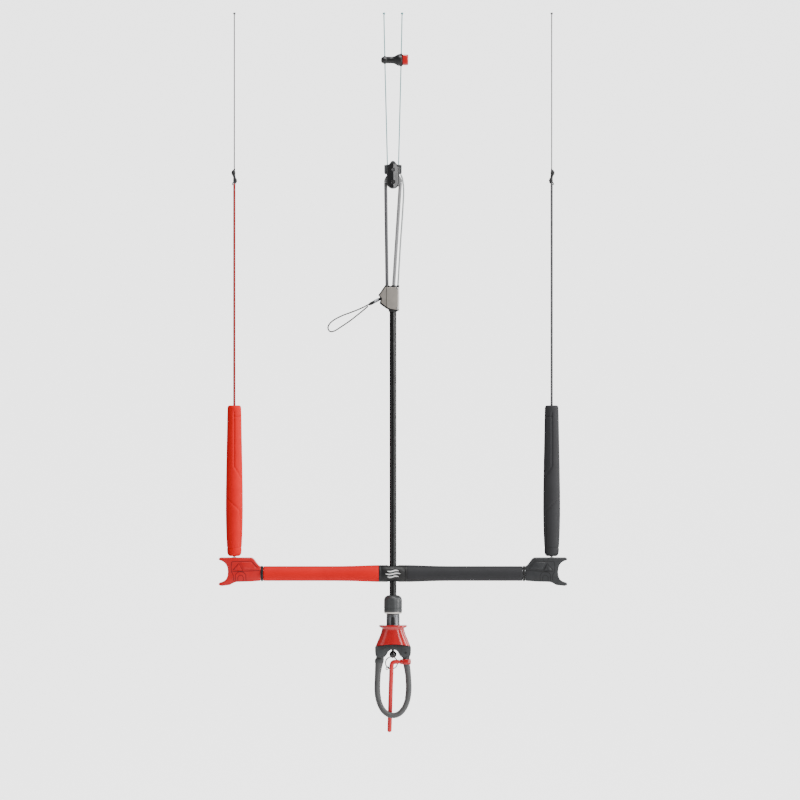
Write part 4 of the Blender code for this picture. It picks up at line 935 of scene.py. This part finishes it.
def build_floats(sizes):
    """Foam floats with their glued seams, the leaders, the knots and the steering lines."""
    profile = [(6.6, -589.2), (8.2, -589.4), (9.4, -590.3), (10.0, -591.6), (10.3, -593.4), (10.7, -606.0),
               (11.3, -640.0), (12.1, -680.0), (12.7, -718.0), (12.85, -746.0), (12.6, -765.0), (12.1, -782.0),
               (11.4, -797.0), (11.1, -801.4), (10.6, -802.3), (10.5, -803.0), (10.9, -803.8), (11.0, -805.4),
               (10.8, -809.0), (10.3, -811.8), (9.3, -813.6), (8.0, -814.8), (6.8, -815.3)]
    fine = filled(profile, 1.3)
    count = 72
    depth, width = sizes.seam_depth / MM, sizes.seam_width / MM
    for side, way in SIDES:
        seams = [
            [(0.0, -600.0), (0.0, -681.0), (12.0, -698.0)],
            [(-13.5, -726.0), (10.0, -748.0), (10.5, -801.0)],
            [(0.0, -606.0), (15.5, -606.0)],
        ]
        rings = []
        for r, z in fine:
            ring = []
            for k in range(count):
                t = 2 * math.pi * k / count
                # the unrolled place, counted from the front and towards the bar's middle
                turn = (t + math.pi) % (2 * math.pi) - math.pi
                s = turn * r
                drop = 0.0
                for line in seams:
                    near = min(seam_near(s, z, line), seam_near(s - 2 * math.pi * r, z, line))
                    drop += depth * math.exp(-(near / width) ** 2)
                back = (turn % (2 * math.pi) - math.pi) * r
                drop += 0.7 * depth * math.exp(-(back / width) ** 2) * (1.0 if -800 < z < -596 else 0.0)
                rr = r - drop
                ring.append((way * (FLOAT_X - rr * math.sin(t)), -rr * math.cos(t), z))
            rings.append(ring)
        bore = 2.2
        for z in (-815.2, -589.3):
            rings.append([(way * (FLOAT_X - bore * math.sin(2 * math.pi * k / count)),
                           -bore * math.cos(2 * math.pi * k / count), z) for k in range(count)])
        body = side + "_float"
        shell = loft("float_foam_" + side, rings, "foam_" + side, body, closed=True,
                     stands_for=["float_" + side])

        bulges = [(1.1, 0.0, -234.6), (1.3, 0.1, -236.0), (2.0, 0.6, -237.2), (2.9, 1.1, -238.8),
                  (3.2, 1.3, -240.4), (2.9, 1.1, -242.2), (2.2, 0.5, -244.2), (1.9, 0.0, -246.4),
                  (2.1, -0.3, -248.4), (2.8, -0.9, -250.6), (3.1, -1.1, -252.4), (2.8, -0.9, -254.2),
                  (2.2, -0.3, -255.6), (1.7, 0.0, -256.4)]
        spine = [(way * (FLOAT_X + out), 0.0, z) for r, out, z in bulges]

        def wound(i, t):
            return 0.07 * math.sin(3 * t + i * 0.9)
        knot = pipe("pigtail_whipping_" + side, smooth_path(spine, 5), spread([b[0] for b in bulges], 5),
                    "whipping", body, 24, stands_for=["pigtail_knot_" + side], wobble=wound)
        stub = [(way * (FLOAT_X + 1.4), -0.4, -254.4), (way * (FLOAT_X + 2.4), -0.6, -256.4),
                (way * (FLOAT_X + 3.0), -0.6, -258.8)]
        tail = pipe("pigtail_end_" + side, smooth_path(stub, 5), 0.85, "whipping", body, 10)

        path = [(way * FLOAT_X, 0.0, -816.6 + (816.6 - 256.6) * i / 140) for i in range(141)]
        rope("leader_braid_" + side, path, 3.6, "leader_" + side, body, ["leader_" + side])
        end = line_end("steering_end_" + side, way * FLOAT_X, 1.8, "steering", body, "steering_knot_" + side)
        path = [(way * FLOAT_X, 0.0, -234.6 + 231.3 * i / 80) for i in range(81)]
        rope("steering_line_braid_" + side, path, 1.8, "steering", body, ["steering_line_" + side],
             count=10)


def arch_z(x, level):
    """The arched joint line between the handle and the fork."""
    return level - 3.2 * (x / 26.0) ** 2


def build_release(sizes):
    """The swivel neck, the release handle, the fork, the ball and the leash ring."""
    neck = rounded([(3.6, -895.0), (3.6, -901.7), (9.3, -901.7, 0.4), (9.9, -903.0, 0.5), (9.9, -904.6),
                    (9.5, -904.9), (9.5, -905.5), (9.9, -905.8), (9.9, -919.8), (6.0, -919.8), (6.0, -946.6),
                    (3.6, -946.6)])
    lathe("swivel_neck_skin", "Z", (0.0, 0.0), neck, "neck", "release_core", True, 64,
          stands_for=["swivel_neck"])
    # the dark window in the neck's front and back
    for name, way in FACES:
        rings = []
        for z, half in ((-906.4, 1.6), (-907.0, 2.6), (-912.0, 2.8), (-917.4, 2.8), (-918.0, 2.0)):
            ring = []
            for x in (-half, -half / 2, 0.0, half / 2, half):
                ring.append((x, way * math.sqrt(9.98 ** 2 - x * x), z))
            for x in (half, half / 2, 0.0, -half / 2, -half):
                ring.append((x, way * (math.sqrt(9.98 ** 2 - x * x) - 0.8), z))
            rings.append(ring)
        loft("neck_window_" + name, rings, "dark_line", "release_core")

    # the handle swells from a waist to a wide arched skirt, under a finger flange with scooped cups
    levels = [(-918.5, 19.0, 13.4), (-918.6, 20.2, 14.4), (-918.9, 20.8, 15.0), (-919.5, 21.0, 15.2),
              (-920.6, 21.0, 15.2), (-921.6, 20.7, 15.0), (-922.4, 19.8, 14.5), (-923.1, 18.6, 13.9),
              (-923.9, 17.6, 13.4), (-925.0, 17.05, 13.1), (-927.0, 17.2, 13.1), (-930.0, 18.0, 13.2),
              (-933.5, 19.2, 13.3), (-937.0, 20.7, 13.5), (-940.5, 22.4, 13.6), (-944.0, 24.1, 13.8),
              (-946.6, 25.4, 13.95), (-948.0, 25.9, 14.0)]
    skirt_foot, arch_from = -948.0, -935.0
    rings = []
    for z, a, b in levels:
        ring = []
        for x, y, w in oval("Z", (0.0, 0.0), z, a, b, 2.3, 96):
            t = math.atan2(y, x)
            # scoops under the flange on both faces
            cup = math.exp(-((z + 923.4) / 1.6) ** 2) * 0.07 * abs(math.cos(t)) ** 2
            # a soft central ridge down each face
            ridge = 0.028 * math.exp(-(x / 3.2) ** 2) * max(0.0, min(1.0, (-926 - z) / 6))
            scale = 1 - cup + ridge
            # the rim follows the arched joint line, more and more from a little below the waist
            part = max(0.0, (z - arch_from) / (skirt_foot - arch_from)) if z < arch_from else 0.0
            ring.append((x * scale, y * scale, arch_z(x * math.sqrt(part), w + 1.2 * part)))
        rings.append(ring)
    foot = oval("Z", (0.0, 0.0), 0.0, 25.5, 13.5, 2.3, 96)
    rings.append([(x, y, arch_z(x, -947.2)) for x, y, z in foot])
    inner = oval("Z", (0.0, 0.0), 0.0, 6.5, 6.5, 2.0, 96)
    rings.append([(x, y, arch_z(x, -947.2)) for x, y, z in inner])
    rings.append([(x, y, -944.0) for x, y, z in inner])
    rings.append(oval("Z", (0.0, 0.0), -944.0, 10.3, 10.3, 2.0, 96))
    rings.append(oval("Z", (0.0, 0.0), -919.4, 10.3, 10.3, 2.0, 96))
    rings.append(oval("Z", (0.0, 0.0), -918.6, 11.0, 11.0, 2.0, 96))
    loft("release_handle_shell", rings, "release", "handle", closed=True, stands_for=["release_handle"])
    coil = []
    for i in range(241):
        turn = 2 * math.pi * 6.0 * i / 240
        rise = min(max((i / 240 - 0.08) / 0.84, 0.0), 1.0)
        coil.append((8.3 * math.cos(turn), 8.3 * math.sin(turn), -921.2 - 21.3 * rise))
    spring = pipe("release_spring_wire", coil, 0.7, "wire", "release_core", 10, stands_for=["release_spring"])
    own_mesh(spring)

    half = [(27.0, -951.0, 1.0), (27.0, -960.6, 4.0), (25.4, -966.8, 4.0), (13.0, -966.8, 1.6),
            (10.2, -964.0, 1.0), (6.4, -957.4, 1.6), (2.4, -955.5, 1.6), (0.0, -955.4)]
    top = [(x, arch_z(x, -947.5)) for x in (-24.0, -18.0, -12.0, -6.0, 0.0, 6.0, 12.0, 18.0, 24.0)]
    outline = rounded(top + half + [(-p[0],) + tuple(p[1:]) for p in reversed(half)][1:])
    for name, near, far in (("front", -7.2, -3.6), ("back", 3.6, 7.2)):
        slab("fork_cheek_" + name, outline, near, far, 1.0, "housing", "release_core",
             stands_for=["fork_body"] if near < 0 else ())
    core = [(x, arch_z(x, -947.6)) for x in (-25.6, -16.0, -8.0, 0.0, 8.0, 16.0, 25.6)]
    notch = [(25.6, -953.2), (9.4, -953.6), (8.2, -959.8), (6.2, -957.2), (2.4, -955.6)]
    core += notch + [(-x, z) for x, z in reversed(notch)]
    slab("fork_core", core, -4.0, 4.0, 0.1, "housing", "release_core", 2)
    for name, way in FACES:
        # a raised shield on each leg, and the head of the loop's pin
        for side, hand in SIDES:
            shield = rounded([(hand * 12.6, -953.6, 1.0), (hand * 24.4, -955.0, 1.4),
                              (hand * 24.6, -961.0, 2.4), (hand * 22.8, -964.6, 1.6),
                              (hand * 14.2, -964.8, 1.2), (hand * 11.4, -960.6, 1.2)], 3)
            slab("fork_shield_" + side + "_" + name, shield, way * 6.9, way * 7.65, 0.35, "housing",
                 "release_core", 3)
        head = rounded([(0.02, way * 8.1), (1.4, way * 8.05), (1.9, way * 7.85, 0.2), (2.0, way * 7.4),
                        (0.02, way * 7.4)])
        lathe("loop_pin_head_" + name, "Y", PIN, head, "shrink", "release_core", False, 24,
              stands_for=["loop_pin"] if way < 0 else ())

    ball = []
    for i in range(25):
        t = math.pi * i / 24
        ball.append((5.4 * math.sin(t), -962.7 + 5.4 * math.cos(t)))
    lathe("swivel_ball_skin", "Z", (0.0, 0.0), ball, "black", "release_core", False, 48,
          stands_for=["swivel_ball"])
    lathe("ball_stem", "Z", (0.0, 0.0), [(0.02, -954.0), (1.9, -954.0), (1.9, -958.0), (0.02, -958.0)], "wire",
          "release_core", False, 24)
    ear = rounded([(2.6, -964.2, 1.0), (6.0, -963.2, 1.0), (9.2, -965.0, 1.6), (9.2, -968.8, 1.6),
                   (6.0, -969.4, 1.6), (3.4, -967.2, 1.0)])
    rings = []
    hole = [(7.4 + 1.15 * math.cos(2 * math.pi * k / len(ear)),
             -967.1 + 1.15 * math.sin(2 * math.pi * k / len(ear))) for k in range(len(ear))]
    # the hole's points start where the ear's outline does
    first = min(range(len(hole)), key=lambda k: math.hypot(hole[k][0] - ear[0][0], hole[k][1] - ear[0][1]))
    hole = [hole[(first - k) % len(hole)] for k in range(len(hole))]
    for x, shape in ((-2.3, inset(ear, 0.2)), (-2.1, ear), (-0.3, ear), (-0.1, inset(ear, 0.2)), (-0.1, hole),
                     (-2.3, hole)):
        rings.append([(x, y, z) for y, z in shape])
    loft("ball_ear", rings, "black", "release_core", closed=True)

    centre = Vector((-2.3, 7.4, -976.0))
    ring = [centre + Vector((9.0 * math.cos(2 * math.pi * i / 72), 0, 9.0 * math.sin(2 * math.pi * i / 72)))
            for i in range(72)]
    pipe("leash_ring_wire", ring, 0.75, "ring", "ring", 12, True, stands_for=["leash_ring"])
    out = Vector((-0.62, 0.0, -0.785)).normalized()
    along = Vector((out.z, 0.0, -out.x))
    axis = (along + Vector((0, 1, 0))).normalized()
    across = axis.cross(out)
    middle = centre + out * 10.0
    small = [middle + 2.4 * (math.cos(2 * math.pi * i / 40) * out + math.sin(2 * math.pi * i / 40) * across)
             for i in range(40)]
    pipe("split_ring_wire", small, 0.6, "ring", "ring", 10, True, stands_for=["split_ring"])


def build_loop(sizes):
    """The harness loop with its collars, and the finger that keeps the hook in."""
    eye = [(19.4, -954.4, 1.6, 3.1), (19.4, -955.0, 3.4, 3.2), (19.4, -956.4, 4.9, 3.2),
           (19.4, -960.0, 5.8, 3.2), (19.4, -966.2, 5.9, 3.2)]
    right = [(19.5, -968.9, 5.3, 3.2), (19.7, -969.4, 5.2, 4.3), (20.0, -974.0, 5.1, 4.4),
             (20.3, -978.0, 5.05, 4.4), (21.0, -982.0, 4.9, 4.4), (21.8, -987.0, 4.7, 4.4),
             (22.6, -993.0, 4.45, 4.4), (23.2, -1001.0, 4.4, 4.4)]
    left = [(19.6, -968.9, 6.0, 3.2), (20.2, -969.4, 6.4, 4.3), (20.6, -973.0, 6.3, 4.4),
            (21.0, -977.0, 5.9, 4.4), (21.6, -981.5, 5.4, 4.4), (22.2, -986.5, 4.9, 4.4),
            (22.8, -993.0, 4.5, 4.4), (23.2, -1001.0, 4.4, 4.4)]
    bend = []
    for i in range(31):
        t = math.radians(90 * i / 30)
        bend.append((23.6 * math.cos(t) ** 0.94, -1013.0 - 41.2 * math.sin(t) ** 0.97, 4.4, 4.4))
    bend[-1] = (0.0, -1054.2, 4.4, 4.4)
    bend.insert(0, (23.5, -1007.0, 4.4, 4.4))
    stations = [(-x, z, a, b) for x, z, a, b in eye + left + bend]
    stations += list(reversed(bend))[1:] + list(reversed(eye + right))
    rings = []
    for i, (x, z, half_in, half_y) in enumerate(stations):
        before, after = stations[max(i - 1, 0)], stations[min(i + 1, len(stations) - 1)]
        along = Vector((after[0] - before[0], after[1] - before[1]))
        if z > -1000.0:
            along = Vector((0.0, -1.0 if x < 0 else 1.0))
        along.normalize()
        normal = Vector((-along.y, along.x))
        ring = []
        for k in range(32):
            t = 2 * math.pi * k / 32
            flat = 0.5 * max(0.0, math.cos(t)) ** 3 if z < -1030 else 0.0
            across = (half_in - flat) * math.cos(t)
            ring.append((x + normal.x * across, half_y * math.sin(t), z + normal.y * across))
        rings.append(ring)
    loft("harness_loop_skin", rings, "loop", "hook_loop", stands_for=["chicken_loop"])
    # the moulded sleeve at the top of the left leg
    sleeve = []
    for z, a, b in ((-969.8, 6.5, 4.5), (-970.2, 6.9, 4.9), (-974.5, 6.7, 4.9), (-975.2, 6.3, 4.6)):
        x = -(20.2 + (-969.4 - z) * 0.11)
        sleeve.append(oval("Z", (x, 0.0), z, a, b, 2.2, 48))
    loft("loop_left_sleeve", sleeve, "housing", "hook_loop")

    outer = [(-969.8, 6.4, 5.6), (-970.0, 6.8, 6.0), (-970.6, 7.05, 6.25), (-973.8, 7.1, 6.3),
             (-976.8, 7.05, 6.25), (-977.4, 6.8, 6.0), (-977.6, 6.4, 5.6)]
    rings = [oval("Z", (19.9, 0.0), z, a, b, 2.6, 64) for z, a, b in outer]
    rings += [oval("Z", (19.9, 0.0), z, 5.6, 4.75, 2.2, 64) for z in (-977.6, -969.8)]
    loft("finger_collar_shell", rings, "release", "hook_loop", closed=True, stands_for=["finger_collar"])
    boss = rounded([(2.0, 10.4), (3.3, 10.4, 0.3), (3.7, 11.2, 0.4), (3.8, 14.6), (2.0, 14.6)])
    lathe("finger_boss", "X", (-3.0, -973.8), boss, "release", "hook_loop", True, 40)

    arm = [(13.2, -3.0, -973.8, 1.6), (10.7, -3.0, -973.8, 1.6), (10.2, -3.0, -973.8, 2.2),
           (9.9, -3.0, -973.8, 2.9), (8.0, -3.0, -973.8, 3.05), (5.0, -3.0, -973.8, 3.15),
           (2.2, -3.0, -973.9, 3.25), (0.2, -3.0, -974.6, 3.3), (-1.2, -3.0, -976.2, 3.3),
           (-2.0, -2.9, -978.6, 3.3), (-2.3, -2.5, -982.0, 3.3)]
    for i in range(1, 13):
        t = i / 12
        arm.append((-2.3 - 3.0 * t, -2.5 + 15.1 * t ** 1.03, -982.0 - 96.0 * t, 3.3))
    arm += [(-5.35, 12.8, -1079.4, 2.7), (-5.4, 12.9, -1080.2, 1.7), (-5.4, 12.95, -1080.5, 0.5)]
    pipe("retention_finger_skin", smooth_path([p[:3] for p in arm], 4), spread([p[3] for p in arm], 4),
         "finger", "finger", 32, stands_for=["retention_finger"])


def flat_sheet(name, corners, look):
    """A plain rectangle of the stage, which isn't part of the object."""
    mesh = bpy.data.meshes.new(name)
    mesh.from_pydata(corners, [], [(0, 1, 2, 3)])
    mesh.materials.append(look)
    made = bpy.data.objects.new(name, mesh)
    bpy.context.scene.collection.objects.link(made)


def build_stage(sizes):
    """A pale floor well below, a back-lit white screen far behind, soft lights and the camera."""
    paper, tree, shader = blank("matt_white_paper", Roughness=0.9, Emission_Strength=0.5)
    shader.inputs["Emission Color"].default_value = linear("#FFFFFF")
    place = add(tree, "TexCoord").outputs["Object"]
    tree.links.new(vary(tree, shader, place, "#F0F0F0", 0.01, 400.0), shader.inputs["Base Color"])
    flat_sheet("studio_floor", [(-9.0, -9.0, -2.4), (9.0, -9.0, -2.4), (9.0, 9.0, -2.4), (-9.0, 9.0, -2.4)],
               paper)
    screen, tree, shader = blank("back_lit_white_screen", Roughness=0.9, Emission_Strength=2.6)
    shader.inputs["Emission Color"].default_value = linear("#FFFFFF")
    corners = [(-1.75, 8.0, -2.39), (1.75, 8.0, -2.39), (1.75, 8.0, 1.2), (-1.75, 8.0, 1.2)]
    flat_sheet("studio_screen", corners, screen)

    world = bpy.context.scene.world or bpy.data.worlds.new("studio")
    bpy.context.scene.world = world
    world.use_nodes = True
    world.node_tree.nodes["Background"].inputs["Color"].default_value = (1.0, 1.0, 1.0, 1.0)
    world.node_tree.nodes["Background"].inputs["Strength"].default_value = 0.24

    middle = Vector((0.0, 0.0, -0.58))
    lights = (("key", (1.7, -2.0, 1.2), 0.8, 1.2, 42.0), ("strip", (1.75, -2.8, -0.5), 0.45, 2.6, 24.0),
              ("side_strip", (2.9, -0.9, -0.5), 0.9, 2.6, 62.0),
              ("fill", (-2.6, -2.2, -0.4), 1.5, 2.2, 9.0), ("top", (0.2, -0.7, 1.9), 0.9, 1.3, 54.0),
              ("rim_right", (2.3, 0.9, 0.1), 0.9, 1.8, 30.0))
    for name, where, wide, tall, power in lights:
        data = bpy.data.lights.new(name, "AREA")
        data.shape = "RECTANGLE"
        data.size = wide
        data.size_y = tall
        data.energy = power
        lamp = bpy.data.objects.new(name, data)
        lamp.location = where
        lamp.rotation_euler = (middle - Vector(where)).to_track_quat("-Z", "Y").to_euler()
        bpy.context.scene.collection.objects.link(lamp)

    data = bpy.data.cameras.new("camera")
    data.sensor_width = 36.0
    data.lens = 180.0
    data.clip_start = 0.1
    data.clip_end = 60.0
    camera = bpy.data.objects.new("camera", data)
    camera.location = (0.0105, -6.0, -0.58125)
    camera.rotation_euler = (math.radians(90), 0.0, 0.0)
    bpy.context.scene.collection.objects.link(camera)
    bpy.context.scene.camera = camera


# ---------------------------------------------------------------- operators

def run(self, context, maker):
    settings = context.scene
    if not FINISH:
        FINISH.update(make_finishes(settings.kitebar_colours, settings.kitebar_sizes))
    maker(settings.kitebar_sizes)
    return {"FINISHED"}


class KITEBAR_OT_front_lines(bpy.types.Operator):
    """Front lines, their knots and the separator"""
    bl_idname = "kitebar.front_lines"
    bl_label = "Front Lines"

    def execute(self, context):
        return run(self, context, build_front_lines)


class KITEBAR_OT_block(bpy.types.Operator):
    """Trim block with its cheeks, rivets and sheave"""
    bl_idname = "kitebar.block"
    bl_label = "Trim Block"

    def execute(self, context):
        return run(self, context, build_block)


class KITEBAR_OT_trim_ropes(bpy.types.Operator):
    """Trim rope legs and safety line"""
    bl_idname = "kitebar.trim_ropes"
    bl_label = "Trim Ropes"

    def execute(self, context):
        return run(self, context, build_trim_ropes)


class KITEBAR_OT_cleat(bpy.types.Operator):
    """Cleat with its plates, tail and pull loop"""
    bl_idname = "kitebar.cleat"
    bl_label = "Cleat"

    def execute(self, context):
        return run(self, context, build_cleat)


class KITEBAR_OT_depower(bpy.types.Operator):
    """Depower tube and stopper"""
    bl_idname = "kitebar.depower"
    bl_label = "Depower Tube"

    def execute(self, context):
        return run(self, context, build_depower)


class KITEBAR_OT_bar(bpy.types.Operator):
    """Centre block, grips, tubes and rings"""
    bl_idname = "kitebar.bar"
    bl_label = "Grip Bar"

    def execute(self, context):
        return run(self, context, build_bar)


class KITEBAR_OT_caps(bpy.types.Operator):
    """Forked end caps"""
    bl_idname = "kitebar.caps"
    bl_label = "End Caps"

    def execute(self, context):
        return run(self, context, build_caps)


class KITEBAR_OT_floats(bpy.types.Operator):
    """Floats, leaders, knots and steering lines"""
    bl_idname = "kitebar.floats"
    bl_label = "Floats and Leaders"

    def execute(self, context):
        return run(self, context, build_floats)


class KITEBAR_OT_release(bpy.types.Operator):
    """Swivel neck, release handle, fork, ball and rings"""
    bl_idname = "kitebar.release"
    bl_label = "Quick Release"

    def execute(self, context):
        return run(self, context, build_release)


class KITEBAR_OT_loop(bpy.types.Operator):
    """Harness loop and retention finger"""
    bl_idname = "kitebar.loop"
    bl_label = "Harness Loop"

    def execute(self, context):
        return run(self, context, build_loop)


class KITEBAR_OT_stage(bpy.types.Operator):
    """Floor, lights and camera"""
    bl_idname = "kitebar.stage"
    bl_label = "Stage"

    def execute(self, context):
        return run(self, context, build_stage)


OPERATORS = (KITEBAR_OT_stage, KITEBAR_OT_front_lines, KITEBAR_OT_block, KITEBAR_OT_trim_ropes,
             KITEBAR_OT_cleat, KITEBAR_OT_depower, KITEBAR_OT_bar, KITEBAR_OT_caps, KITEBAR_OT_floats,
             KITEBAR_OT_release, KITEBAR_OT_loop)


class KITEBAR_PT_panel(bpy.types.Panel):
    """Pieces, colours and sizes of the control bar"""
    bl_idname = "KITEBAR_PT_panel"
    bl_label = "Control Bar"
    bl_space_type = "VIEW_3D"
    bl_region_type = "UI"
    bl_category = "Control Bar"

    def draw(self, context):
        column = self.layout.column(align=True)
        for operator in OPERATORS:
            column.operator(operator.bl_idname)
        for group in (context.scene.kitebar_colours, context.scene.kitebar_sizes):
            column = self.layout.column()
            for key in group.__annotations__:
                column.prop(group, key)


CLASSES = (KITEBAR_PG_colours, KITEBAR_PG_sizes) + OPERATORS + (KITEBAR_PT_panel,)


def register():
    for cls in CLASSES:
        bpy.utils.register_class(cls)
    bpy.types.Scene.kitebar_colours = bpy.props.PointerProperty(type=KITEBAR_PG_colours)
    bpy.types.Scene.kitebar_sizes = bpy.props.PointerProperty(type=KITEBAR_PG_sizes)


def unregister():
    del bpy.types.Scene.kitebar_colours
    del bpy.types.Scene.kitebar_sizes
    for cls in reversed(CLASSES):
        bpy.utils.unregister_class(cls)


def main():
    register()
    for operator in OPERATORS:
        group, name = operator.bl_idname.split(".")
        getattr(getattr(bpy.ops, group), name)()


if __name__ == "__main__":
    main()
